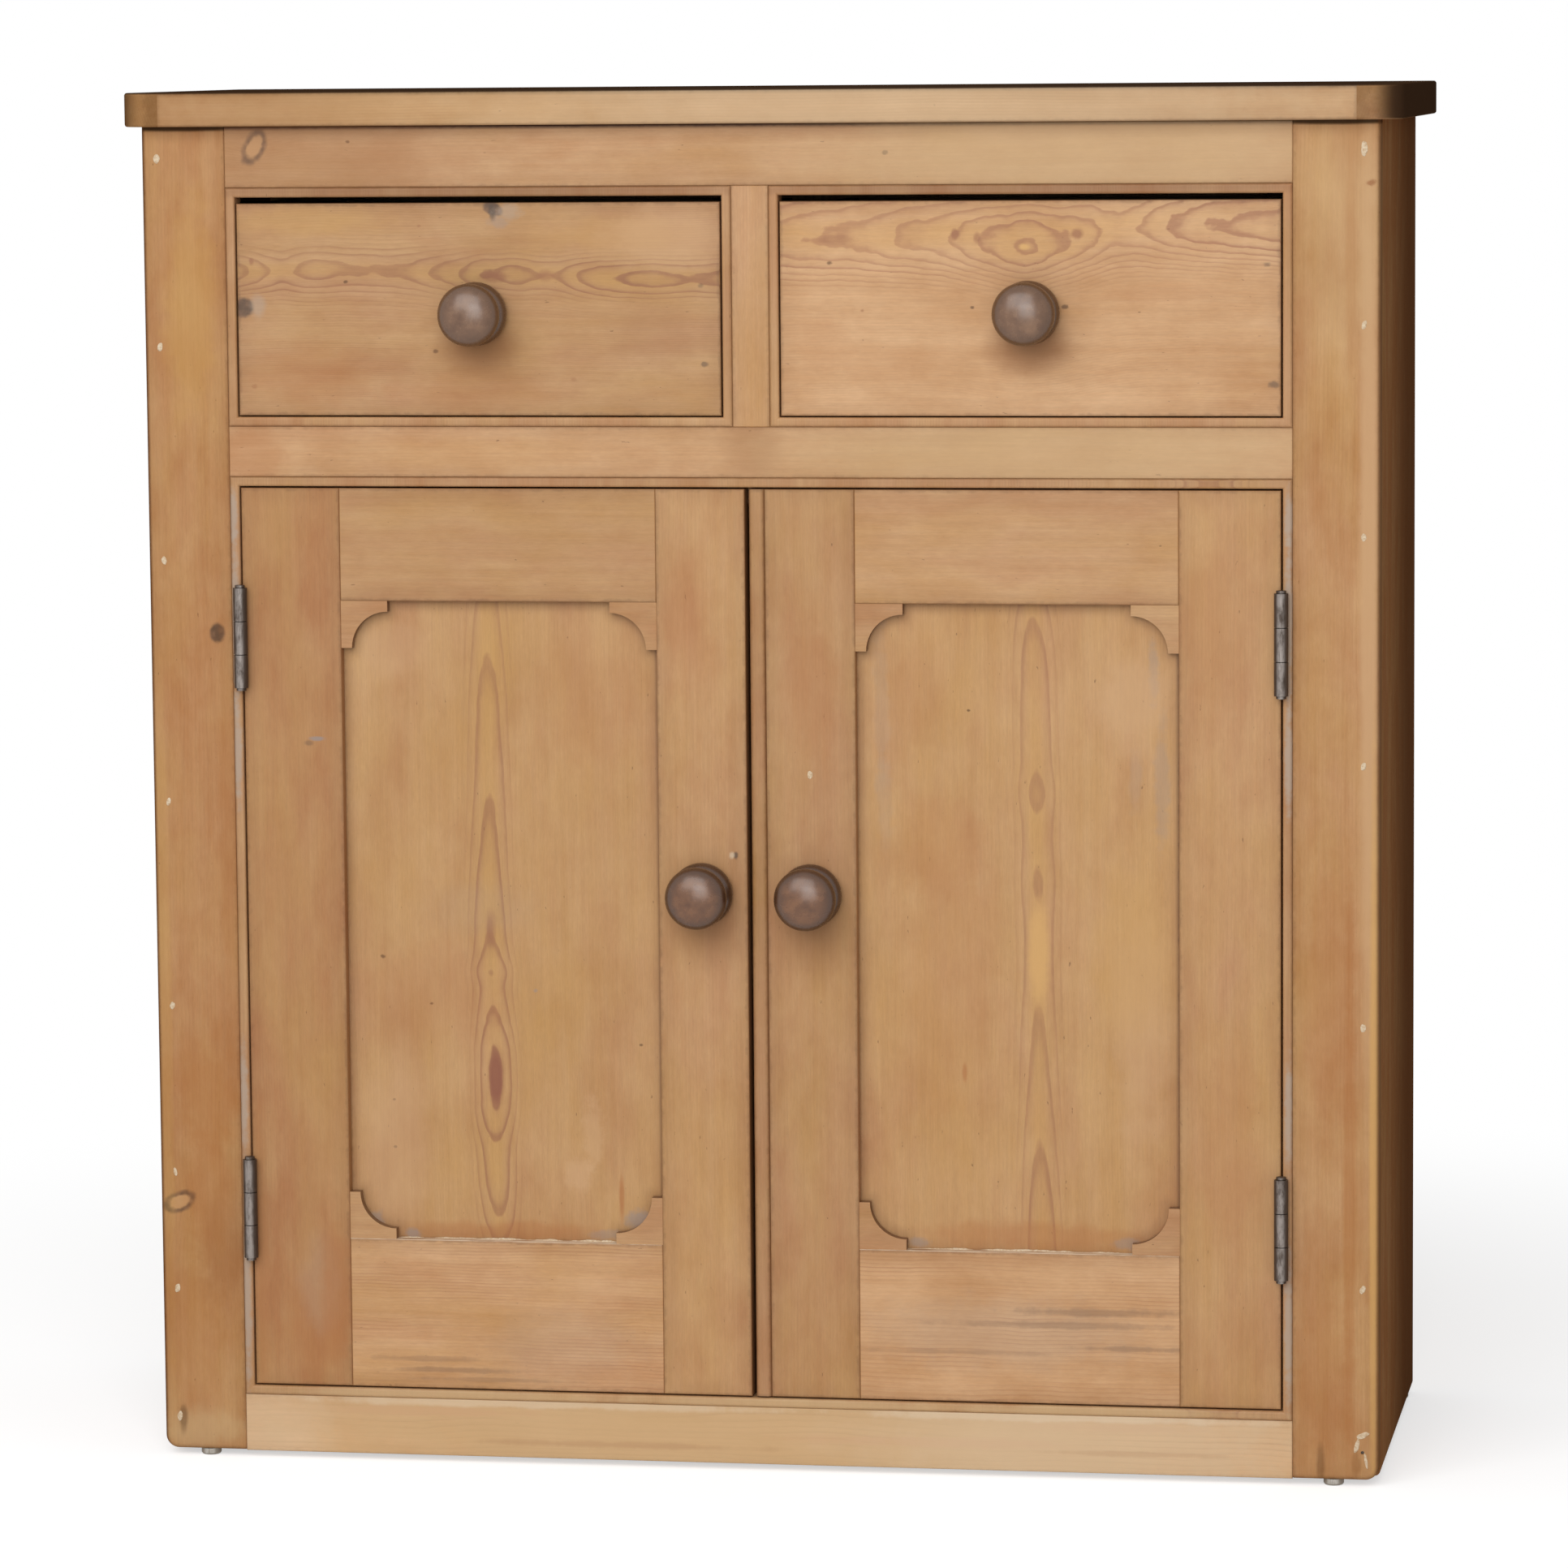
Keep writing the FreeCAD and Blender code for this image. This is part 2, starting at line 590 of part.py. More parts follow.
def turned_knob(label, x, z, board_thickness):
    """A domed bun and a rounded ring with a groove between, spigoted through the board."""
    knob = doc.addObject("PartDesign::Body", label + "_body")
    ring = knob.newObject("PartDesign::AdditiveCylinder", "ring")
    bind(ring, Radius="ring_radius", Height="ring_thickness")
    soften(knob, "ring_thickness / 2 - ring_flat", at_head, also=(at_foot,))
    neck = knob.newObject("PartDesign::AdditiveCylinder", "neck")
    bind(neck, Radius="neck_radius", Height="knob_projection - bun_half_depth")
    bun = knob.newObject("PartDesign::AdditiveEllipsoid", "bun")
    bind(bun, Radius1="bun_half_depth", Radius2="bun_radius", Radius3="bun_radius",
         base_z="knob_projection - bun_half_depth")
    bun.Angle1, bun.Angle2 = -90, 90
    spigot = knob.newObject("PartDesign::AdditiveCylinder", "spigot")
    bind(spigot, Radius="spigot_radius", Height=board_thickness, base_z=f"-({board_thickness})")
    knob.Placement = FreeCAD.Placement(FreeCAD.Vector(), OUTWARD)
    bind(knob, base_x=x, base_y="front_y", base_z=z)
    keep(knob, label)


def knob_hole(x, z, board_thickness):
    """Clearance hole for a knob's spigot, open at both faces of the board."""
    return rod("knob_hole", "spigot_radius + spigot_clearance", f"{board_thickness} + 2 * overcut",
               (x, "front_y - overcut", z), INWARD)


# ---------------------------------------------------------------- drawers

def make_drawer(side):
    """A lapped box with a grooved-in bottom, flush in its beaded opening."""
    name = "drawer_" + SIDE_NAME[side] + "_"
    if side == LEFT:
        low_x, high_x = "-opening_half + drawer_side_gap", "muntin_low - bead_width - drawer_side_gap"
    else:
        low_x, high_x = "muntin_high + bead_width + drawer_side_gap", "opening_half - drawer_side_gap"
    board_back = "front_y + drawer_front_thickness"
    lap_y = f"{board_back} - drawer_lap"
    floor = ((f"{low_x} + drawer_side_thickness - drawer_groove", f"{board_back} - drawer_groove",
              "drawer_floor_low"),
             (f"{high_x} - drawer_side_thickness + drawer_groove", "drawer_back_y", "drawer_floor_high"))
    sides = {"left": (low_x, f"{low_x} + drawer_side_thickness"),
             "right": (f"{high_x} - drawer_side_thickness", high_x)}
    laps = [((first, lap_y, "drawer_low"), (last, board_back, "drawer_side_high"))
            for first, last in sides.values()]
    front = board(name + "front", (low_x, "front_y", "drawer_low"), (high_x, board_back, "drawer_high"),
                  cuts=(*laps, floor))
    soften(front, "arris", at_front)
    x, z = f"({low_x} + {high_x}) / 2", "(drawer_low + drawer_high) / 2 - drawer_knob_drop"
    keep(less(name + "front_bored", front, knob_hole(x, z, "drawer_front_thickness")), name + "front")
    for hand, (first, last) in sides.items():
        keep(board(name + "side_" + hand, (first, lap_y, "drawer_low"),
                   (last, "drawer_back_y", "drawer_side_high"), cuts=(floor,)), name + "side_" + hand)
    keep(board(name + "back", (f"{low_x} + drawer_side_thickness", "drawer_back_y - drawer_back_thickness",
                               "drawer_floor_high"),
               (f"{high_x} - drawer_side_thickness", "drawer_back_y", "drawer_side_high")), name + "back")
    keep(board(name + "bottom", *floor), name + "bottom")
    turned_knob(name + "knob", x, z, "drawer_front_thickness")


# ---------------------------------------------------------------- doors

def make_door(side):
    """Two stiles and two rails round a flat panel with a bracket in each corner."""
    name = "door_" + SIDE_NAME[side] + "_"
    face, back = "front_y", "door_back"
    hang_inner = "door_outer - hanging_stile_width"
    meet_outer = "door_inner + meeting_stile_width"
    if side == LEFT:
        hang = ("-door_outer", f"-({hang_inner})")
        panel_x = (f"-({hang_inner})", "-door_outer + leaf_width - meeting_stile_width")
        meet = (panel_x[1], "-door_outer + leaf_width")
    else:
        hang = (hang_inner, "door_outer")
        panel_x = (meet_outer, hang_inner)
        meet = ("door_inner", meet_outer)
    spans = {"top_rail": ("panel_high", "door_high"), "bottom_rail": ("door_low", "panel_low")}
    bars = {rail: tenons(f"({panel_x[0]})", f"({panel_x[1]})", *span) for rail, span in spans.items()}
    groove = ((f"{panel_x[0]} - panel_groove", "panel_face", "panel_low - panel_groove"),
              (f"{panel_x[1]} + panel_groove", "panel_back", "panel_high + panel_groove"))

    stile = board(name + "hanging_stile", (hang[0], face, "door_low"), (hang[1], back, "door_high"),
                  cuts=(*bars.values(), groove))
    soften(stile, "arris", at_front)
    recessed = less(name + "hanging_recessed", stile, group(name + "recesses", leaf_recesses(side, -side)))
    keep(less(name + "hanging_drilled", recessed, group(name + "holes", hinge_screw_holes(side, -side))),
         name + "hanging_stile")

    stile = board(name + "meeting_stile", (meet[0], face, "door_low"), (meet[1], back, "door_high"),
                  cuts=(*bars.values(), groove))
    soften(stile, "arris", at_front)
    knob_x = f"{meet[1]} - door_knob_inset" if side == LEFT else f"{meet[0]} + door_knob_inset"
    knob_z = "door_low + door_knob_height"
    keep(less(name + "meeting_bored", stile, knob_hole(knob_x, knob_z, "door_thickness")),
         name + "meeting_stile")
    turned_knob(name + "knob", knob_x, knob_z, "door_thickness")

    for rail, (low_z, high_z) in spans.items():
        piece = board(name + rail, (panel_x[0], face, low_z), (panel_x[1], back, high_z),
                      added=(bars[rail],), cuts=(groove,))
        soften(piece, "arris", at_front)
        keep(piece, name + rail)
    keep(board(name + "panel", (f"{panel_x[0]} - panel_edge", "panel_face", "panel_low - panel_edge"),
               (f"{panel_x[1]} + panel_edge", "panel_back", "panel_high + panel_edge")), name + "panel")
    keep(group(name + "bracket_set", spandrel_brackets(name, panel_x)), name + "brackets")
    if side == RIGHT:
        bead = board(name + "meeting_bead", ("door_inner - meeting_bead_width", face, "door_low"),
                     ("door_inner", back, "door_high"))
        soften(bead, "meeting_bead_round", at_front, at_left, also=(at_front, at_right))
        keep(bead, name + "meeting_bead")


def spandrel_brackets(name, panel_x):
    """A square block less a quarter circle in each corner of the panel."""
    radius = "bracket_leg - bracket_end"
    low_y, high_y = "front_y + bracket_setback", "panel_face"
    brackets = []
    for x, x_sign in ((panel_x[0], 1), (panel_x[1], -1)):
        for z, z_sign in (("panel_low", 1), ("panel_high", -1)):
            tip_x, tip_z = f"{x} + {x_sign} * bracket_leg", f"{z} + {z_sign} * bracket_leg"
            low_x, high_x = (x, tip_x) if x_sign > 0 else (tip_x, x)
            low_z, high_z = (z, tip_z) if z_sign > 0 else (tip_z, z)
            bracket = board(name + "bracket", (low_x, low_y, low_z), (high_x, high_y, high_z))
            bore = bracket.newObject("PartDesign::SubtractiveCylinder", "sweep")
            bore.Placement = FreeCAD.Placement(FreeCAD.Vector(), INWARD)
            bind(bore, Radius=radius, Height="panel_face - front_y + 2 * overcut", base_x=tip_x,
                 base_y="front_y - overcut", base_z=tip_z)
            brackets.append(bracket)
    return brackets


# ---------------------------------------------------------------- hinges

def hinge_heights():
    return ("door_low + lower_hinge_rise", "door_high - upper_hinge_drop")


def leaf_span(side, wall):
    """Low and high x of a closed leaf; wall says which way the wood lies from the gap."""
    centre = f"{side} * pin_x"
    near, far = "leaf_gap / 2", "leaf_gap / 2 + leaf_thickness"
    if wall == RIGHT:
        return f"{centre} + {near}", f"{centre} + {far}"
    return f"{centre} - ({far})", f"{centre} - ({near})"


def hinge_screws(side, wall, extra="0"):
    """Countersunk screws through one hand of leaves into the wood beside the gap."""
    low_x, high_x = leaf_span(side, wall)
    start = low_x if wall == RIGHT else high_x
    screws = []
    for height in hinge_heights():
        for step in (-1, 0, 1):
            z = f"{height} + {step} * screw_pitch"
            y = "(front_y + leaf_back) / 2"
            head = doc.addObject("Part::Cone", "screw_head")
            head.Placement = FreeCAD.Placement(FreeCAD.Vector(), SIDEWAYS[wall])
            bind(head, Radius1=f"screw_head_radius + {extra}", Radius2=f"screw_radius + {extra}",
                 Height="leaf_thickness", base_x=start, base_y=y, base_z=z)
            shank = rod("screw_shank", f"screw_radius + {extra}", f"screw_length + {extra}",
                        (start, y, z), SIDEWAYS[wall])
            screws.append(fused("screw", [head, shank]))
    return screws


def hinge_screw_holes(side, wall):
    return hinge_screws(side, wall, "screw_clearance")


def leaf_recesses(side, wall):
    """Shallow mortises that the leaves are let into, open to the gap."""
    low_x, high_x = leaf_span(side, wall)
    recesses = []
    for height in hinge_heights():
        recess = doc.addObject("Part::Box", "leaf_recess")
        span_box(recess, (low_x, "front_y - bead_proud - overcut", f"{height} - hinge_length / 2"),
                 (high_x, "leaf_back", f"{height} + hinge_length / 2"))
        recesses.append(recess)
    return recesses


def hinge_leaf(name, side, wall, height, knuckles):
    """A leaf with its knuckles; knuckles are counted upwards from 0 to 2."""
    low_x, high_x = leaf_span(side, wall)
    low_z = f"{height} - hinge_length / 2"
    leaf = board(name, (low_x, "front_y", low_z), (high_x, "leaf_back", f"{height} + hinge_length / 2"))
    for number in knuckles:
        foot = f"{low_z} + {number} * knuckle_pitch + {number and 'knuckle_gap / 2' or '0'}"
        head = f"{low_z} + {number + 1} * knuckle_pitch - {'knuckle_gap / 2' if number < 2 else '0'}"
        block(leaf, (low_x, "pin_y", foot), (high_x, "leaf_back", head))
        knuckle = leaf.newObject("PartDesign::AdditiveCylinder", "knuckle")
        bind(knuckle, Radius="knuckle_radius", Height=f"{head} - ({foot})",
             base_x=f"{side} * pin_x", base_y="pin_y", base_z=foot)
    bore = leaf.newObject("PartDesign::SubtractiveCylinder", "bore")
    bind(bore, Radius="pin_radius + pin_clearance", Height="hinge_length + 2 * overcut",
         base_x=f"{side} * pin_x", base_y="pin_y", base_z=f"{low_z} - overcut")
    return leaf


def hinge_pin(side, height):
    """A pin with a small head at each end, just clear of the end knuckles."""
    x, low_z = f"{side} * pin_x", f"{height} - hinge_length / 2"
    shaft = rod("pin_shaft", "pin_radius", "hinge_length + 2 * pin_overrun",
                (x, "pin_y", f"{low_z} - pin_overrun"), UPRIGHT)
    heads = [rod("pin_head", "pin_head_radius", "pin_overrun - knuckle_gap / 2", (x, "pin_y", z), UPRIGHT)
             for z in (f"{low_z} - pin_overrun", f"{low_z} + hinge_length + knuckle_gap / 2")]
    return fused("hinge_pin", [shaft, *heads])


def make_hinges():
    frame_leaves, pins, frame_screws = [], [], []
    for side in (LEFT, RIGHT):
        hand = SIDE_NAME[side]
        for height in hinge_heights():
            frame_leaves.append(hinge_leaf("frame_leaf", side, side, height, (0, 2)))
            pins.append(hinge_pin(side, height))
        frame_screws += hinge_screws(side, side)
        door_leaves = [hinge_leaf("door_leaf", side, -side, height, (1,)) for height in hinge_heights()]
        countersunk = less("leaves_cut_" + hand, group("leaves_" + hand, door_leaves),
                           group("leaf_holes_" + hand, hinge_screw_holes(side, -side)))
        keep(countersunk, f"door_{hand}_hinge_leaves")
        keep(group("door_screws_" + hand, hinge_screws(side, -side)), f"door_{hand}_hinge_screws")
    holes = [hole for side in (LEFT, RIGHT) for hole in hinge_screw_holes(side, side)]
    countersunk = less("frame_leaves_cut", group("frame_leaf_set", frame_leaves),
                       group("frame_leaf_holes", holes))
    keep(countersunk, "frame_hinge_leaves")
    keep(group("pin_set", pins), "hinge_pins")
    keep(group("frame_screw_set", frame_screws), "frame_hinge_screws")


# ---------------------------------------------------------------- the whole piece

def check_and_write():
    """Stop on any failed feature or bad solid, then write one file for each node."""
    doc.recompute()
    failed = [thing.Label for thing in doc.Objects
              if "Invalid" in thing.State or "Error" in thing.State]
    if failed:
        raise RuntimeError("features failed: " + ", ".join(failed))
    for node in nodes:
        if node.Shape.isNull() or not node.Shape.isValid() or not node.Shape.Solids:
            raise RuntimeError("bad solid: " + node.Label)
    os.makedirs("parts", exist_ok=True)
    for node in nodes:
        node.Shape.exportStep(f"parts/{node.Label}.step")
    print(len(nodes), "nodes written")


fill_sheet()
make_top()
make_sides_and_stiles()
make_rails()
make_beads()
make_back()
make_floor_and_shelf()
make_runners()
make_glides()
make_hinges()
for hand in (LEFT, RIGHT):
    make_drawer(hand)
for hand in (LEFT, RIGHT):
    make_door(hand)
check_and_write()
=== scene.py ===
import math
import random

import bmesh
import bpy
from mathutils import Matrix, Vector


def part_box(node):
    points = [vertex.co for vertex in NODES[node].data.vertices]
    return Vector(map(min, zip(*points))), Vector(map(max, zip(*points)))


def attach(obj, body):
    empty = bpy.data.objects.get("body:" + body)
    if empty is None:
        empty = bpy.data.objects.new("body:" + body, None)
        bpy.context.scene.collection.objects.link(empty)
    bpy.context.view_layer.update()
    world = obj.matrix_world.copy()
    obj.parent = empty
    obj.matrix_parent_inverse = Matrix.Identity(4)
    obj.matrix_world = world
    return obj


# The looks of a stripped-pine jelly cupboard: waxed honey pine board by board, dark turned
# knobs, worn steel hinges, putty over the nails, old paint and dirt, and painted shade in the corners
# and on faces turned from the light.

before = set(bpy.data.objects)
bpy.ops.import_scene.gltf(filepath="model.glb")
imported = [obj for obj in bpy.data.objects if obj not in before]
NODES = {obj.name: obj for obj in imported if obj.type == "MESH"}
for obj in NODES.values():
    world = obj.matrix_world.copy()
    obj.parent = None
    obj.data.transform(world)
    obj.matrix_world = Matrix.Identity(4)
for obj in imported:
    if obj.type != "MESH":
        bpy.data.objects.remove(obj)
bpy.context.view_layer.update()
MM = 0.001

# -------------------------------- colours


def srgb(red, green, blue):
    """Linear colour of an 8-bit screen colour."""
    def linear(level):
        level /= 255
        return level / 12.92 if level <= 0.04045 else ((level + 0.055) / 1.055) ** 2.4
    return (linear(red), linear(green), linear(blue), 1)


PALE = srgb(206, 165, 124)
CREAM = srgb(204, 172, 128)
HONEY = srgb(180, 133, 88)
YELLOW = srgb(200, 154, 90)
RED = srgb(172, 110, 62)
LATE = srgb(158, 108, 74)
FLAME = srgb(150, 98, 72)
KNOT = srgb(84, 70, 60)
KNOT_RIM = srgb(118, 92, 74)
KNOT_EYE = srgb(204, 160, 114)
# Dark brown for dirt and flecks, and for painted shade at edges and on faces turned from the light.
GRIME_AND_SHADE = srgb(74, 46, 28)
SHADE = srgb(26, 16, 10)
BRIGHT = srgb(214, 168, 106)
# Painted shade for the top's upward faces and its right end.
TOP_SHADE = srgb(66, 46, 32)
# Brown for patina, and for painted shade on edges, corners and the drawer beads.
PATINA_AND_SHADE = srgb(112, 70, 42)
PUTTY = srgb(226, 208, 180)
LENS = srgb(140, 86, 66)
CHALK = srgb(232, 214, 188)
PAINT = srgb(176, 156, 138)
BLUE = srgb(150, 138, 132)
GREASE = srgb(150, 100, 58)

# -------------------------------- node helpers


class Value:
    """A node's output to reckon with: + - * and / make math nodes."""

    def __init__(self, socket):
        self.socket = socket

    def __add__(self, other):
        return calc("ADD", self, other)

    def __radd__(self, other):
        return calc("ADD", other, self)

    def __sub__(self, other):
        return calc("SUBTRACT", self, other)

    def __rsub__(self, other):
        return calc("SUBTRACT", other, self)

    def __mul__(self, other):
        return calc("MULTIPLY", self, other)

    def __truediv__(self, other):
        return calc("DIVIDE", self, other)


def put(value, socket):
    """Links a value to an input, or sets a plain number or colour on it."""
    if isinstance(value, Value):
        socket.id_data.links.new(value.socket, socket)
    else:
        socket.default_value = value


def add_node(tree, kind, inputs=(), **settings):
    """A shader node with its settings, and with its inputs by name or number."""
    made = tree.nodes.new("ShaderNode" + kind)
    for name, value in settings.items():
        setattr(made, name, value)
    for socket, value in dict(inputs).items():
        put(value, made.inputs[socket])
    return made


def given_by(node):
    """A node's outputs as values, by name."""
    return {socket.name: Value(socket) for socket in node.outputs}


def made_from(kind, inputs, output=0, **settings):
    """The value that a new node gives; at least one of its inputs is a value."""
    tree = next(value.socket.id_data for value in inputs.values() if isinstance(value, Value))
    return Value(add_node(tree, kind, inputs, **settings).outputs[output])


def calc(operation, *values):
    return made_from("Math", dict(enumerate(values)), operation=operation)


def clamped(value):
    """Holds a sum or a product between 0 and 1."""
    value.socket.node.use_clamp = True
    return value


def larger(first, second):
    return calc("MAXIMUM", first, second)


def smaller(first, second):
    return calc("MINIMUM", first, second)


def length(first, second):
    return calc("SQRT", first * first + second * second)


def bell(value):
    """1 at 0, falling smoothly to both sides."""
    return calc("EXPONENT", value * value * -1.0)


def coordinate(tree, kind):
    return Value(add_node(tree, "TexCoord").outputs[kind])


def vector(x, y, z):
    return made_from("CombineXYZ", {"X": x, "Y": y, "Z": z})


def vector_math(operation, first, second):
    return made_from("VectorMath", {0: first, 1: second}, operation=operation)


def split(place):
    made = made_from("SeparateXYZ", {"Vector": place})
    return [Value(socket) for socket in made.socket.node.outputs]


def scaled(place, x, y, z):
    return made_from("Mapping", {"Vector": place, "Scale": (x, y, z)})


def noise(place, detail=2.0, roughness=0.5):
    """Noise centred on 0, about -0.5 to 0.5."""
    inputs = {"Vector": place, "Scale": 1.0, "Detail": detail, "Roughness": roughness}
    return made_from("TexNoise", inputs, "Fac") - 0.5


def smooth(value, low, high, out_low=0.0, out_high=1.0):
    """From out_low to out_high while value goes from low to high, level beyond them."""
    inputs = {"Value": value, "From Min": low, "From Max": high, "To Min": out_low, "To Max": out_high}
    return made_from("MapRange", inputs, "Result", interpolation_type="SMOOTHSTEP")


def fade(value, low, high):
    """From 1 to 0 while value goes from low to high."""
    return smooth(value, low, high, 1.0, 0.0)


def mix(factor, first, second, blend="MIX"):
    """A colour between two; the numbers are the colour sockets of the Mix node."""
    inputs = {0: factor, 6: first, 7: second}
    return made_from("Mix", inputs, 2, data_type="RGBA", blend_type=blend)


def add_relief(shader, strength, distance, height):
    bump = {"Strength": strength, "Distance": distance, "Height": height}
    put(made_from("Bump", bump), shader["Normal"])


def ramp(value, *stops):
    """Grey levels by place, both from 0 to 1."""
    made = made_from("ValToRGB", {"Fac": value})
    elements = made.socket.node.color_ramp.elements
    while len(elements) < len(stops):
        elements.new(0.5)
    for element, (place, level) in zip(elements, stops):
        element.position = place
        element.color = (level, level, level, 1)
    return made


# The highest level that a profile can draw.
PROFILE_TOP = 10.0


def profile(value, stops):
    """A smooth curve through (place, level) stops, drawn for levels from 0 to PROFILE_TOP."""
    first, last = stops[0][0], stops[-1][0]
    made = made_from("ValToRGB", {"Fac": (value - first) / (last - first)})
    curve = made.socket.node.color_ramp
    curve.interpolation = "CARDINAL"
    for place, _ in stops[1:-1]:
        curve.elements.new((place - first) / (last - first))
    for element, (_, level) in zip(curve.elements, stops):
        element.color = (*[level / PROFILE_TOP] * 3, 1)
    return made * PROFILE_TOP


def new_group(name, inputs, *outputs):
    """An empty node group: inputs by name and default, and outputs, numbers except for Color."""
    tree = bpy.data.node_groups.new(name, "ShaderNodeTree")
    for label, default in inputs.items():
        kind = "NodeSocketVector" if isinstance(default, tuple) else "NodeSocketFloat"
        socket = tree.interface.new_socket(label, in_out="INPUT", socket_type=kind)
        socket.default_value = default
    for label in outputs:
        kind = "NodeSocketColor" if label == "Color" else "NodeSocketFloat"
        tree.interface.new_socket(label, in_out="OUTPUT", socket_type=kind)
    return tree, given_by(tree.nodes.new("NodeGroupInput")), tree.nodes.new("NodeGroupOutput").inputs


def add_group(tree, group, place, settings):
    """A group node at a place."""
    return add_node(tree, "Group", {"Place": place, **settings}, node_tree=group)


def emptied(owner):
    """The node tree of a material or a world, with nothing in it."""
    owner.use_nodes = True
    owner.node_tree.nodes.clear()
    return owner.node_tree


def new_material(name):
    """A material with one shader: the material, its node tree and the shader's inputs."""
    material = bpy.data.materials.new(name)
    tree = emptied(material)
    shader = add_node(tree, "BsdfPrincipled")
    put(Value(shader.outputs[0]), add_node(tree, "OutputMaterial").inputs["Surface"])
    return material, tree, shader.inputs


# -------------------------------- pine

# How far a knot's outline strays, as a share of its radius.
KNOT_RAGGED = 0.55


def make_knot_group():
    """A knot or a swelling: how it pushes the rings aside, its dark part and its pale eye."""
    inputs = {"Place": (0, 0, 0), "Centre": (0, 0, 0), "Tilt": 0.0, "Reach across": 20.0,
              "Reach along": 40.0, "Swell": 0.0, "Core": 5.0, "Stretch": 1.0, "Eye": 0.0}
    tree, given, result = new_group("knot", inputs, "Bend", "Dark", "Pale")
    here = vector_math("SUBTRACT", given["Place"], given["Centre"])
    across, _, along = split(here)
    far = length(across / given["Reach across"], along / given["Reach along"])
    put(bell(far) * given["Swell"], result["Bend"])
    turning = {"Vector": here, "Angle": given["Tilt"]}
    turned = made_from("VectorRotate", turning, rotation_type="Y_AXIS")
    across, _, along = split(turned)
    ragged = noise(scaled(given["Place"], 0.11, 0.11, 0.11), 3.0, 0.6)
    radius = length(across, along / given["Stretch"]) / given["Core"] + ragged * KNOT_RAGGED
    inside = fade(radius, 0.75, 1.25)
    rim = smooth(radius, 0.6, 0.9) * fade(radius, 1.0, 1.45)
    patchy = noise(scaled(given["Place"], 0.1, 0.1, 0.1), 1.0, 0.5)
    rim = rim * smooth(patchy, -0.2, 0.15, 0.6, 1.0)
    solid = inside * (1.0 - given["Eye"])
    put(larger(solid, rim * given["Eye"]), result["Dark"])
    put(inside * given["Eye"], result["Pale"])
    return tree


def make_mark_group():
    """A ragged soft patch."""
    inputs = {"Place": (0, 0, 0), "Centre": (0, 0, 0), "Reach": (9, 9, 9), "Ragged": 0.5, "Fine": 0.1}
    tree, given, result = new_group("mark", inputs, "Mask")
    here = vector_math("SUBTRACT", given["Place"], given["Centre"])
    across, _, along = split(vector_math("DIVIDE", here, given["Reach"]))
    scale = {0: given["Place"], "Scale": given["Fine"]}
    cloud = noise(made_from("VectorMath", scale, operation="SCALE"), 4.0, 0.65)
    radius = length(across, along) + cloud * given["Ragged"]
    put(fade(radius, 0.35, 1.1), result["Mask"])
    return tree


# The pine group's inputs, with what a board has where nothing else is said. Lengths are in mm; a
# level is a number of rings.
PINE_INPUTS = {
    "Place": (0, 0, 0), "Pith across": 0.0, "Pith depth": 60.0, "Ring": 3.0, "Sway": 3.0,
    "Sway length": 160.0, "Flick": 0.0, "Flick length": 45.0, "Jag": 0.0, "Skew": 0.0, "Level": 0.0,
    "Level mid": 0.0, "Level reach": 60.0, "Wobble": 0.8, "Bend": 0.0, "Dark": 0.0, "Pale": 0.0,
    "Flame": 0.8, "Flame width": 30.0, "Line": 0.25, "Light": 1.0, "Warm": 0.1, "Yellow": 0.1,
    "Half across": 50.0, "Half along": 500.0, "Corner": 0.0, "Inner corner": 0.0, "Dirt and shade": 0.5,
    "Dirt width": 3.4, "Haze": 0.3, "Low edge shade": 0.0, "High edge shade": 0.0, "Rear": 0.0, "Seed": 0.0}
# How far one step of the seed moves a board through the noise, along x, y and z.
SEED_STRIDES = (37.1, 11.7, 53.9)


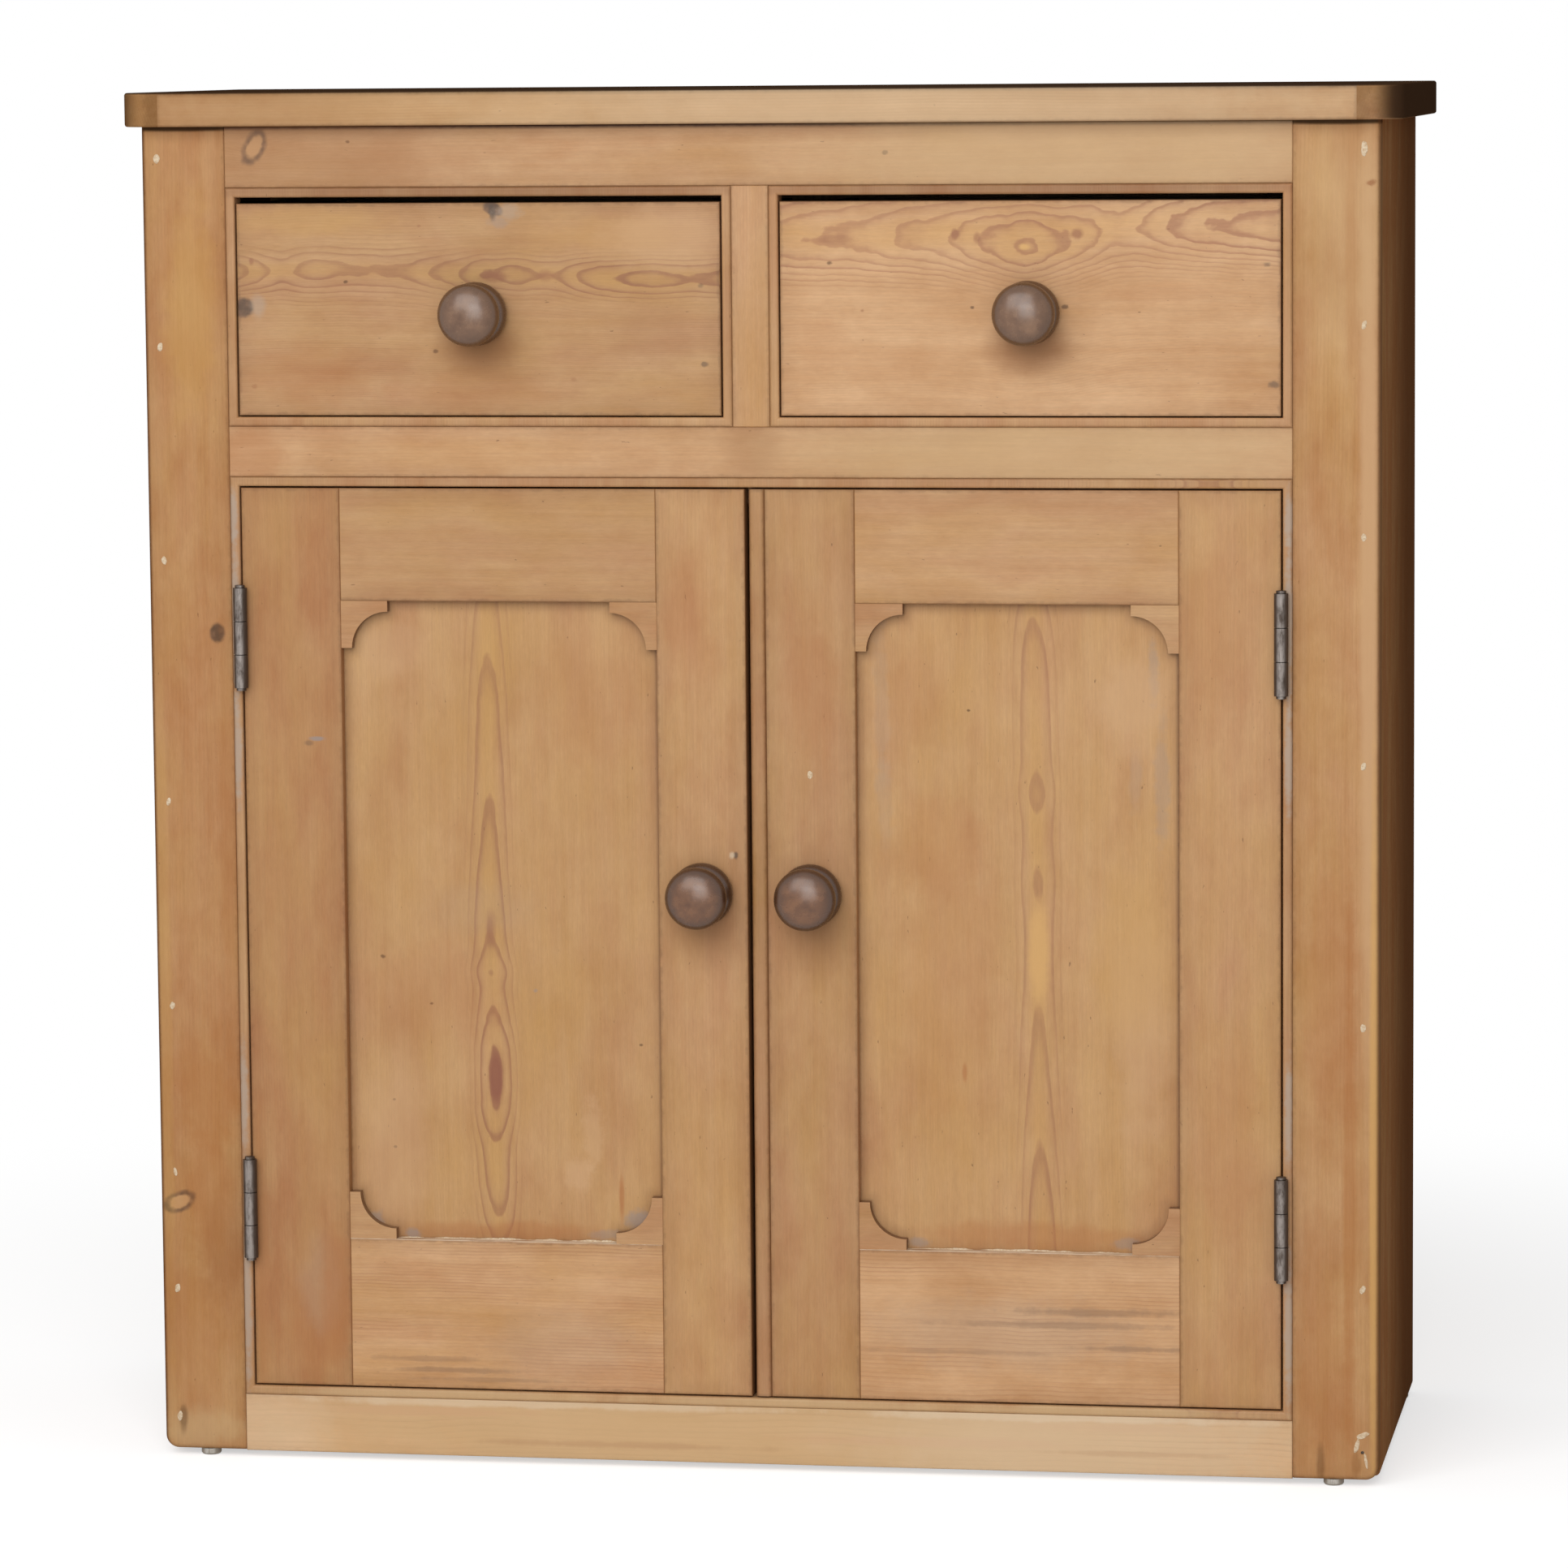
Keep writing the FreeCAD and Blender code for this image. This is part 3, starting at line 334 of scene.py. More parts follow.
def make_pine_group():
    """Growth rings round a pith, cut by the board's own planes, with fibres, tone, and dirt and painted
    shade along the edges.
    """
    tree, given, result = new_group("pine", PINE_INPUTS, "Color", "Roughness", "Height")
    across, depth, along = split(given["Place"])
    offset = vector(*(given["Seed"] * stride for stride in SEED_STRIDES))

    def texture(cross, run, detail=2.0, roughness=0.5):
        """Noise of this board's own, scaled per mm across and along the grain."""
        place = scaled(given["Place"], cross, cross, run)
        return noise(vector_math("ADD", place, offset), detail, roughness)

    def swing(cross, run, amount, detail):
        """How far a slow bend of the grain goes aside; run is its length in mm."""
        place = vector(across * cross, depth * cross, along / run)
        return noise(vector_math("ADD", place, offset), detail) * (amount * 2.0)

    # growth rings
    bends = swing(0.012, given["Sway length"], given["Sway"], 1.5)
    bends = bends + swing(0.02, given["Flick length"], given["Flick"], 1.0)
    wobble = texture(0.09, 0.012) * given["Wobble"] + texture(0.09, 0.06) * given["Jag"]
    from_pith = across - given["Pith across"]
    narrow = smooth(from_pith, 0.0, 12.0) * given["Skew"]
    from_pith = from_pith * (1.0 - narrow)
    under_pith = depth - given["Pith depth"]
    radius = length(from_pith, under_pith) - given["Pith depth"]
    radius = radius + (bends + (wobble + given["Bend"]))
    far = from_pith / given["Level reach"]
    level = (given["Level"] - given["Level mid"]) * bell(far) + given["Level mid"]
    phase = radius / given["Ring"] - level
    part = calc("FRACT", phase)
    ring = {"W": calc("FLOOR", phase)}
    strength = made_from("TexWhiteNoise", ring, "Value", noise_dimensions="1D")
    late = ramp(part, (0.0, 0.0), (0.4, 0.04), (0.64, 0.3), (0.82, 0.95), (0.93, 0.9), (1.0, 0.0))
    late = late * smooth(strength, 0.0, 1.0, 0.6, 1.1)
    aside = calc("ABSOLUTE", from_pith) / given["Flame width"]
    flat = fade(aside, 0.45, 1.35)
    patchy = smooth(texture(0.03, 0.005, 3.0), -0.2, 0.25, 0.0, 1.5)
    contrast = given["Line"] * patchy + flat * (given["Flame"] - given["Line"])
    late = clamped(late * contrast)

    # tone
    fibre = texture(1.1, 0.12, 3.0, 0.65)
    strand = texture(0.42, 0.012, 3.0, 0.6)
    streak = texture(0.07, 0.0022, 3.0, 0.6)
    band = texture(0.2, 0.006, 2.0, 0.6)
    mottle = texture(0.014, 0.008, 5.0, 0.65)
    blush = texture(0.021, 0.007, 4.0, 0.6)
    tone = clamped(streak * 0.8 + mottle * 2.3 + band * 0.4 + 0.52)
    colour = mix(tone, HONEY, PALE)
    warm = clamped(given["Warm"] + blush * 1.9)
    colour = mix(warm * 0.75, colour, RED)
    by_flame = smooth(aside, 0.1, 0.55, 0.5, 0.0) * given["Flame"]
    yellow = clamped(given["Yellow"] + blush * -1.6 + by_flame)
    colour = mix(yellow * 0.7, colour, YELLOW)
    colour = mix(late, colour, mix(flat, LATE, FLAME))
    shade = (fibre * 0.24 + strand * 0.18 + 1.0) * given["Light"]
    colour = mix(1.0, colour, vector(shade, shade, shade), "MULTIPLY")
    flecks = texture(0.35, 0.12, 2.0, 0.5)
    flecks = smooth(flecks, 0.23, 0.3, 0.0, 0.5)
    colour = mix(flecks, colour, GRIME_AND_SHADE)

    # knots
    colour = mix(given["Pale"] * 0.7, colour, KNOT_EYE)
    knot_tone = smooth(texture(0.14, 0.14, 2.0), -0.15, 0.2)
    colour = mix(given["Dark"] * 0.92, colour, mix(knot_tone, KNOT, KNOT_RIM))

    # dirt that gathers along the edges, with painted shade in the joints and recesses, round the corner
    # pieces too
    edge_across = given["Half across"] - calc("ABSOLUTE", across)
    edge_along = given["Half along"] - calc("ABSOLUTE", along)
    edge = smaller(edge_across, edge_along)
    past_across = larger(given["Corner"] - edge_across, 0.0)
    past_along = larger(given["Corner"] - edge_along, 0.0)
    in_curve = given["Inner corner"] - length(past_across, past_along)
    in_corner = calc("GREATER_THAN", smaller(past_across, past_along), 0.0)
    end = given["Corner"] - given["Inner corner"]

    def from_end(beside, beyond):
        """How far a place outside the corner piece's square is from that piece's squared end."""
        beside = larger(beside - end, 0.0)
        beyond = larger(beyond - given["Corner"], 0.0)
        return length(beside, beyond)

    from_ends = smaller(from_end(edge_across, edge_along), from_end(edge_along, edge_across))
    curved = in_curve * in_corner
    straight = from_ends * (1.0 - in_corner)
    corner = smaller(edge, curved + straight) - edge
    edge = edge + corner * fade(depth, 2.0, 4.0)
    ragged = texture(0.11, 0.11, 4.0, 0.65)
    edge = edge / given["Dirt width"] + ragged * 2.0
    # A soft darker halo near the edges: dirt with painted shade.
    haze = fade(edge, 0.0, 6.0) * given["Haze"]
    dirt_and_shade = fade(edge, 0.0, 1.0) * given["Dirt and shade"]
    # Painted shade along the board's low and high long edges, as much as each board sets.
    dirt_and_shade = dirt_and_shade + fade(given["Half across"] + across, 0.5, 5.0) * given["Low edge shade"]
    dirt_and_shade = dirt_and_shade + fade(given["Half across"] - across, 0.5, 5.0) * given["High edge shade"]
    # Darker towards the rear.
    rear = smooth(depth, 30.0, 330.0) * given["Rear"]
    colour = mix(clamped(haze + rear), colour, PATINA_AND_SHADE)
    colour = mix(clamped(dirt_and_shade), colour, GRIME_AND_SHADE)

    put(colour, result["Color"])
    put(0.5 + mottle * 0.25 + late * -0.08, result["Roughness"])
    put(strand * 0.5 + late * 0.5 + flecks * -1.0 - given["Dark"] * 0.6, result["Height"])
    return tree


KNOT_GROUP = make_knot_group()
MARK_GROUP = make_mark_group()
PINE_GROUP = make_pine_group()
# By the axis that the grain runs along: which world axes run across, into and along the board.
AXIS_ORDER = {"X": (2, 1, 0), "Z": (0, 1, 2), "Y": (0, 2, 1)}
# A stain on a board's face goes through the whole board: its reach into it, in mm.
MARK_DEPTH = 1000


class Board:
    """Millimetres across, into and along a board, from the middle of its front face."""

    def __init__(self, box, grain):
        low, high = box
        self.order = AXIS_ORDER[grain]
        self.centre = (low + high) / 2
        if grain == "Y":
            self.centre.z = low.z
        else:
            self.centre.y = low.y
        size = (high - low) / MM / 2
        self.half_across, _, self.half_along = (size[axis] for axis in self.order)
        self.middle_across, _, self.middle_along = (self.centre[axis] / MM for axis in self.order)

    def place(self, tree):
        spot = vector_math("SUBTRACT", coordinate(tree, "Object"), tuple(self.centre))
        parts = split(scaled(spot, 1 / MM, 1 / MM, 1 / MM))
        return vector(*(parts[axis] for axis in self.order))

    def spot(self, x, z):
        """A place on the front given in millimetres, x from the middle and z from the floor."""
        world = (x - self.centre.x / MM, 0, z - self.centre.z / MM)
        return tuple(world[axis] for axis in self.order)

    def reach(self, wide, high):
        return tuple((wide, MARK_DEPTH, high)[axis] for axis in self.order)


# Room that the flame's axis has to either side of its first point, in mm; its profile is drawn at a
# smaller scale, so that it stays under PROFILE_TOP.
AXIS_ROOM = PROFILE_TOP * 2
AXIS_SCALE = 4.0


def pine(name, box, grain, seed, look, knots=(), specks=(), marks=(), patina=(), ridge=(), axis=(),
         ledge=0.0, bump=0.25, gloss=0.3):
    """A pine material for one board; look overrides the inputs of the pine group.

    ridge says which growth ring the face cuts along the middle of a flame, axis where that middle runs.
    """
    board = Board(box, grain)
    material, tree, shader = new_material(name)
    place = board.place(tree)
    wood = add_group(tree, PINE_GROUP, place, {
        "Half across": board.half_across, "Half along": board.half_along, "Seed": seed, **look})
    bend, dark, pale = 0.0, 0.0, 0.0
    for x, z, shape in knots:
        made = given_by(add_group(tree, KNOT_GROUP, place, {"Centre": board.spot(x, z), **shape}))
        bend = bend + made["Bend"]
        dark = larger(dark, made["Dark"])
        pale = larger(pale, made["Pale"])
    if ridge:
        along = split(place)[2] + board.middle_along
        put(profile(along, ridge), wood.inputs["Level"])
        first = axis[0][1]
        offsets = [(spot, (side - first + AXIS_ROOM) / AXIS_SCALE) for spot, side in axis]
        start = first - AXIS_ROOM - board.middle_across
        put(profile(along, offsets) * AXIS_SCALE + start, wood.inputs["Pith across"])
    for label, value in (("Bend", bend), ("Dark", dark), ("Pale", pale)):
        put(value, wood.inputs[label])
    pattern = given_by(wood)
    colour = pattern["Color"]
    patches = [*(speck(*shape) for shape in specks), *(smudge(*shape) for shape in marks)]
    for x, z, wide, high, tint, amount, ragged, fine in patches:
        settings = {
            "Centre": board.spot(x, z), "Reach": board.reach(wide, high), "Ragged": ragged, "Fine": fine}
        made = given_by(add_group(tree, MARK_GROUP, place, settings))
        colour = mix(made["Mask"] * amount, colour, tint)
    for tint, amount, facing, low, high in patina:
        normal = split(coordinate(tree, "Normal"))[facing]
        colour = mix(smooth(normal, low, high, 0.0, amount), colour, tint)
    if ledge:
        upward = split(coordinate(tree, "Normal"))[2]
        crusty = noise(scaled(place, 0.05, 0.3, 0.03), 4.0, 0.65)
        crusty = smooth(crusty, -0.12, 0.1, 0.0, ledge)
        colour = mix(smooth(upward, 0.5, 0.9) * crusty, colour, CHALK)
    put(colour, shader["Base Color"])
    put(pattern["Roughness"], shader["Roughness"])
    add_relief(shader, bump, 0.5 * MM, pattern["Height"])
    put(gloss, shader["Specular IOR Level"])
    return material


def solid_knot(x, z, core, swell, reach, stretch, tilt=0):
    """A grey knot that the rings run round."""
    return (x, z, {"Core": core, "Swell": swell, "Reach across": reach[0], "Reach along": reach[1],
                   "Stretch": stretch, "Tilt": math.radians(tilt)})


def eye_knot(x, z, core, swell, reach, stretch, tilt):
    """A pale oval with a dark broken ring."""
    where, height, shape = solid_knot(x, z, core, swell, reach, stretch, tilt)
    return (where, height, {**shape, "Eye": 1.0})


def smudge(x, z, wide, high, tint, amount, ragged=1.2, fine=0.03):
    """A soft stain with a reach across and a reach up."""
    return (x, z, wide, high, tint, amount, ragged, fine)


def speck(x, z, size, tint=GRIME_AND_SHADE, amount=0.8):
    """A small dark fleck, a little wider than it is high."""
    return (x, z, size * 1.2, size * 0.85, tint, amount * 0.85, 1.3, 0.22)


def assign(node, material):
    NODES[node].data.materials.clear()
    NODES[node].data.materials.append(material)


def add_object(name, data):
    made = bpy.data.objects.new(name, data)
    bpy.context.scene.collection.objects.link(made)
    return made


SAWN = ("Pith across", "Pith depth", "Ring", "Light", "Warm", "Yellow", "Sway")


def dress(node, grain, seed, sawn, look, **extras):
    """Gives a CAD board its own pine; sawn holds how it was cut and its tone, in the order of SAWN."""
    inputs = {**dict(zip(SAWN, sawn)), **look}
    assign(node, pine("pine_" + node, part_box(node), grain, seed, inputs, marks=MARKS.get(node, ()),
                      specks=SPECKS.get(node, ()), **extras))


# Tints by which way a face looks: tint, amount, the axis of the face's normal, and the
# part of that normal over which the tint sets in. EDGE_PATINA reddens the edges and backs of the door
# boards; the rest are painted shade on faces turned from the light.
EDGE_PATINA = ((RED, 0.22, 1, -0.9, -0.3),)
LEFT_CORNER_SHADE = ((PATINA_AND_SHADE, 0.65, 0, -0.2, -0.85),)
RIGHT_CORNER_SHADE = ((PATINA_AND_SHADE, 0.5, 0, 0.3, 0.9),)
TOP_FACE_SHADE = (TOP_SHADE, 0.95, 2, 0.3, 0.8)
LEFT_END_SHADE = (GRIME_AND_SHADE, 0.7, 0, -0.35, -1.0)
RIGHT_END_SHADE = (TOP_SHADE, 0.97, 0, 0.15, 0.85)
BRACKET_EDGE_SHADE = ((GRIME_AND_SHADE, 0.65, 1, -0.9, -0.3),)
KICKER_FRONT_SHADE = ((SHADE, 1.0, 1, -0.5, -0.9),)

# Specks by board: place across and height in mm, then size, tint and amount where they differ.
SPECKS = {
    "top_rail": ((118, 1168, 3), (-360, 1180, 2)),
    "drawer_left_front": ((-283.3, 995.8, 2.6), (-43, 984.3, 3.4, KNOT, 0.7), (-364, 1057, 2),
        (-46, 1053, 3, KNOT, 0.5), (-297, 1106, 2, LATE, 0.6), (-448, 965, 3, LATE, 0.6),
        (-160, 971, 3, LATE, 0.5)),
    "drawer_right_front": ((274.5, 1034, 3), (456, 966.7, 5, KNOT, 0.7), (68.4, 1072.5, 2.4),
        (193.6, 1033.5, 1.8), (450, 1070, 3, KNOT, 0.6), (97, 1031, 1.8, LATE, 0.7)),
    "door_left_panel": ((-341.7, 456, 2.4), (-203, 427, 2.4, BLUE, 0.6), (-298, 414, 1.8),
        (-333, 327, 1.6), (-108, 380, 1.8), (-333, 284, 1.8)),
    "door_right_panel": ((187, 681, 1.6),),
}

# Soft stains by board, a few of them painted shade: place across, height, reach across and reach up in
# mm, tint and amount, then raggedness and fineness where they differ.
MARKS = {
    "door_left_hanging_stile": ((-396, 652, 9, 2.6, BLUE, 0.8, 0.9, 0.1),
        (-404, 648, 5, 3, KNOT, 0.4, 0.9, 0.1), (-410, 120, 34, 70, RED, 0.35),
        (-400, 160, 26, 50, PAINT, 0.2), (-455, 180, 9, 160, RED, 0.4), (-386, 150, 17, 80, RED, 0.5)),
    "door_left_meeting_stile": ((-19.3, 551.5, 2.6, 4.2, KNOT, 0.8, 0.9, 0.2),
        # The GREASE halo under the knob is hand grease and a painted knob shadow.
        (-22.6, 551.8, 3, 3.8, PUTTY, 0.55, 1.0, 0.2), (-48, 500, 40, 60, GREASE, 0.5, 0.6),
        (-60, 760, 30, 80, RED, 0.3)),
    # The GREASE halo under the knob is hand grease and a painted knob shadow.
    "door_right_meeting_stile": ((49, 490, 36, 60, GREASE, 0.5, 0.6), (50, 700, 30, 90, RED, 0.3)),
    "door_right_hanging_stile": ((400, 760, 30, 100, RED, 0.25), (420, 300, 30, 120, RED, 0.25)),
    "door_right_bottom_rail": ((220, 130, 150, 40, PAINT, 0.25, 1.2),
        (300, 150, 90, 5, KNOT_RIM, 0.4, 2.0), (270, 138, 120, 4, KNOT_RIM, 0.35, 2.0),
        (330, 118, 60, 3, KNOT_RIM, 0.4, 2.0), (180, 112, 90, 3, KNOT_RIM, 0.25, 2.0)),
    "door_left_bottom_rail": ((-180, 110, 90, 40, PAINT, 0.18, 1.2),
        (-290, 84, 80, 3, KNOT_RIM, 0.4, 2.0), (-310, 94, 60, 3, KNOT_RIM, 0.3, 2.0),
        (-250, 76, 90, 2.5, KNOT_RIM, 0.3, 2.0)),
    "stile_left": ((-510, 700, 34, 120, RED, 0.1), (-520, 110, 40, 90, RED, 0.3),
        (-505, 1030, 30, 120, YELLOW, 0.4), (-478, 560, 12, 240, RED, 0.25),
        (-505, 330, 40, 60, RED, 0.4), (-490, 190, 30, 60, GREASE, 0.35), (-505, 240, 34, 70, RED, 0.35),
        # The SHADE streak at 1192.5 mm paints the shadow under the top's overhang.
        (-510, 1192.5, 90, 3.4, SHADE, 0.85, 0.3), (-510, 25, 44, 22, CREAM, 0.5),
        (-540, 400, 8, 400, YELLOW, 0.3, 0.6), (-530, 34, 5, 16, GRIME_AND_SHADE, 0.5, 1.2)),
    "stile_right": ((538, 800, 10, 560, PALE, 0.8, 0.5), (543, 300, 5, 420, BRIGHT, 0.7, 0.5),
        (522, 1080, 6, 130, RED, 0.35, 0.8), (522, 250, 7, 330, RED, 0.4, 0.8),
        (500, 1000, 26, 170, YELLOW, 0.05), (515, 1100, 44, 150, CREAM, 0.3, 0.5),
        # The SHADE streak at 1192.5 mm paints the shadow under the top's overhang.
        (510, 1192.5, 90, 3.4, SHADE, 0.85, 0.3), (505, 430, 30, 160, RED, 0.3),
        (500, 90, 34, 100, RED, 0.35), (540, 1140, 4.8, 3.4, LATE, 0.765, 1.3, 0.22),
        (497, 22, 5, 20, GRIME_AND_SHADE, 0.4, 0.9), (470, 20, 3, 14, GRIME_AND_SHADE, 0.3, 0.9),
        (528, 20, 6, 16, GREASE, 0.5, 1.2)),
    "top_rail": ((-400, 1166, 190, 60, GREASE, 0.34, 0.5), (300, 1168, 330, 50, CREAM, 0.5, 0.5)),
    "mid_rail": ((-250, 905, 130, 20, YELLOW, 0.15), (-450, 905, 40, 40, RED, 0.4),
        (-2, 912, 34, 34, GREASE, 0.35, 0.6), (270, 907, 330, 40, CREAM, 0.5, 0.5)),
    "bottom_rail": ((0, 32, 700, 90, CREAM, 0.75, 0.6), (-300, 46, 120, 5, PALE, 0.7, 1.6),
        (150, 30, 160, 6, PALE, 0.7, 1.6), (320, 47, 90, 5, PALE, 0.7, 1.6),
        (-120, 20, 160, 4, LATE, 0.25, 1.6), (-450, 30, 70, 60, CHALK, 0.2, 0.6),
        (290, 30, 260, 60, CHALK, 0.25, 0.6), (-200, 55, 260, 5, CHALK, 0.35, 1.6),
        (260, 55, 220, 5, CHALK, 0.35, 1.6), (330, 24, 110, 3, LATE, 0.2, 1.6)),
    # Painted shade along the top of each drawer bead, under the rail.
    "drawer_bead_left": ((-245, 1136, 330, 8, PATINA_AND_SHADE, 0.45, 0.5),),
    "drawer_bead_right": ((243, 1136, 330, 8, PATINA_AND_SHADE, 0.45, 0.5),),
    "door_bead": (
        *((side * 469, z, 5, long, PAINT, 0.8, 1.6, 0.09)
          for side in (-1, 1) for z, long in ((850, 30), (760, 90), (640, 60), (330, 60), (140, 90))),
        *((x, 61, 190, 7, CREAM, 0.7, 0.8) for x in (-290, 20, 300))),
    "drawer_left_front": ((-230, 1061, 17, 6, FLAME, 0.6, 0.8, 0.1),
        (-184, 1062, 10, 6, FLAME, 0.5, 0.8, 0.1), (-449, 1075, 3, 4, FLAME, 0.6, 0.8, 0.1),
        # The GREASE halo under the knob is hand grease and a painted knob shadow.
        (-245, 1000, 44, 28, GREASE, 0.75, 0.5), (-400, 975, 80, 34, RED, 0.3),
        (-250, 960, 90, 24, RED, 0.22), (-90, 1010, 50, 40, GREASE, 0.22),
        (-120, 1100, 90, 18, YELLOW, 0.3), (-75, 1095, 70, 34, PALE, 0.5, 0.8),
        (-400, 1110, 90, 14, YELLOW, 0.3), (-231, 1118, 4, 9, KNOT, 0.8, 0.9, 0.15),
        (-217, 1118, 15, 9, PAINT, 0.45, 1.4, 0.09), (-226, 1109, 12, 6, BLUE, 0.35, 1.4, 0.09),
        (-443, 1036, 9, 13, PAINT, 0.5)),
    "drawer_right_front": ((179, 1097, 4.5, 5.5, FLAME, 0.7, 0.8, 0.1),
        (198, 1094, 4, 6, FLAME, 0.6, 0.8, 0.1), (285, 1097, 7, 5.5, FLAME, 0.7, 0.8, 0.1),
        (239, 1086, 6, 3.6, BRIGHT, 1.0, 0.6, 0.1), (74, 1093, 22, 5, FLAME, 0.45, 0.8, 0.1),
        # The GREASE halo under the knob is hand grease and a painted knob shadow.
        (243, 1000, 44, 28, GREASE, 0.75, 0.5), (360, 1045, 60, 12, RED, 0.18),
        (120, 985, 70, 22, RED, 0.12), (60, 1000, 30, 40, RED, 0.15)),
    "door_left_panel": ((-240, 347, 8.5, 34, LENS, 0.85, 0.5, 0.05),
        (-243, 480, 7, 22, FLAME, 0.45, 0.9), (-165, 262, 16, 18, PALE, 0.5, 1.8, 0.08),
        (-152, 300, 12, 40, PALE, 0.4, 1.8, 0.08), (-250, 500, 60, 30, PAINT, 0.12),
        (-300, 420, 80, 60, RED, 0.22), (-330, 290, 40, 100, PALE, 0.4, 0.8),
        (-127, 242, 3.2, 26, RED, 0.7, 0.8), (-150, 690, 60, 90, RED, 0.2),
        (-330, 730, 40, 30, PALE, 0.35), (-240, 210, 110, 10, RED, 0.45, 1.4),
        (-351, 218, 9, 9, BLUE, 0.5, 1.6, 0.1), (-113, 222, 13, 12, BLUE, 0.6, 1.6, 0.1),
        (-142, 208, 18, 6, BLUE, 0.4, 1.6, 0.1), (-318, 206, 8, 7, BLUE, 0.6, 1.6, 0.1)),
    "door_right_panel": ((350, 715, 6, 34, BLUE, 0.35, 1.9, 0.08),
        (357, 620, 8, 70, BLUE, 0.28, 1.9, 0.05), (334, 620, 7, 40, PAINT, 0.2, 1.9, 0.05),
        (110, 680, 9, 90, PAINT, 0.2, 1.9, 0.05), (112, 600, 9, 50, PAINT, 0.16, 1.9, 0.05),
        (140, 700, 34, 50, RED, 0.2), (160, 560, 50, 60, RED, 0.25), (170, 440, 60, 160, RED, 0.22),
        (240, 215, 120, 16, RED, 0.45, 1.4), (330, 690, 40, 50, PALE, 0.5),
        (340, 400, 30, 140, PALE, 0.4), (330, 470, 40, 90, YELLOW, 0.3),
        (248, 468, 12, 56, BRIGHT, 0.75, 0.8), (182, 360, 3, 12, RED, 0.6, 0.8),
        (358, 216, 9, 16, RED, 0.5, 1.2), (325, 210, 16, 7, BLUE, 0.4, 1.6, 0.1),
        (140, 208, 12, 6, BLUE, 0.5, 1.6, 0.1)),
    "top_board_front": ((-500, 1210, 190, 90, GREASE, 0.42, 0.5), (0, 1210, 700, 60, CREAM, 0.35, 0.8),
        (180, 1210, 460, 90, CHALK, 0.2, 0.5)),
}


def dress_frame():
    """The face frame and its cock beads, all straight-grained."""
    straight = {"Line": 0.12, "Flame": 0.25, "Dirt and shade": 0.25, "Haze": 0.12}
    # Low edge shade and LEFT_CORNER_SHADE paint shade on the stile's outer arris and left-facing faces.
    dress("stile_left", "Z", 1.3, (190, 60, 3.4, 0.965, 0.42, 0.16, 6), {**straight, "Low edge shade": 0.5},
          patina=LEFT_CORNER_SHADE, gloss=0.0,
          knots=(solid_knot(-485.7, 745.6, 7, 5, (16, 40), 1.2),
                 eye_knot(-530, 232, 7.5, 6, (18, 30), 1.7, -68)))
    # RIGHT_CORNER_SHADE paints shade on the stile's right-facing faces.
    dress("stile_right", "Z", 4.1, (-230, 70, 3.2, 1.0, 0.22, 0.14, 5), straight,
          patina=RIGHT_CORNER_SHADE, gloss=0.0)
    # High edge shade paints the shadow under the top along the rail's upper edge.
    dress("top_rail", "X", 7.7, (-120, 50, 2.8, 0.98, 0.02, 0.0, 5), {**straight, "High edge shade": 0.9},
          knots=(eye_knot(-444.6, 1176, 8, 8, (16, 30), 1.7, 118),))
    dress("mid_rail", "X", 9.2, (110, 60, 2.6, 1.05, 0.03, -0.1, 4), straight)
    dress("bottom_rail", "X", 12.9, (60, 60, 3.4, 1.27, -1.2, 0.0, 7),
          {**straight, "Line": 0.5, "Jag": 1.0})
    dress("drawer_muntin", "Z", 15.4, (130, 40, 2.7, 1.05, 0.05, 0.1, 4), straight)
    bead = {"Dirt and shade": 0.2, "Dirt width": 2.0, "Haze": 0.2, "Line": 0.2}
    for node, seed, light in (("drawer_bead_left", 2.2, 1.0), ("drawer_bead_right", 3.6, 1.03),
                              ("door_bead", 5.8, 0.97)):
        dress(node, "Z", seed, (400, 90, 2.4, light, 0.2), bead)


# Growth-ring levels along the middle of each flame, by place in mm: a face that climbs past a
# whole number shows the dark end of a flame there, and closed ovals lie where the level peaks.
LEFT_DRAWER_RINGS = (
    (-470, 2.6), (-452, 2.1), (-441, 1.5), (-431, 1.0), (-421, 0.6), (-412, 1.0), (-402, 1.4),
    (-385, 1.5), (-370, 1.24), (-352, 1.14), (-332, 1.13), (-316, 1.24), (-300, 1.6), (-288, 2.1),
    (-275, 2.55), (-262, 3.1), (-252, 3.6), (-243, 3.98), (-228, 4.2), (-208, 4.5), (-194, 4.2),
    (-179, 4.12), (-168, 4.45), (-157, 5.08), (-140, 5.65), (-126, 6.02), (-113, 6.25), (-88, 6.48),
    (-64, 6.22), (-50, 6.14), (-20, 6.6))
LEFT_DRAWER_AXIS = ((-470, 1066), (-431, 1067), (-385, 1068), (-330, 1067), (-262, 1064.5), (-207, 1063),
                    (-140, 1060), (-88, 1059), (-20, 1059.5))
RIGHT_DRAWER_RINGS = (
    (20, 0.6), (50, 1.0), (66, 1.12), (82, 1.3), (104, 1.6), (124, 2.06), (150, 2.5), (172, 3.0),
    (186, 3.5), (199, 4.05), (215, 4.6), (229, 5.04), (239, 5.26), (250, 5.08), (257, 4.85), (268, 4.4),
    (284, 4.05), (300, 3.3), (318, 2.7), (340, 3.05), (352, 3.5), (365, 4.05), (380, 4.5), (396, 5.0),
    (418, 5.28), (440, 5.5), (470, 5.9))
RIGHT_DRAWER_AXIS = ((20, 1092), (50, 1093), (150, 1094), (190, 1091), (239, 1085.5), (280, 1091),
                     (320, 1099), (380, 1103), (470, 1101))


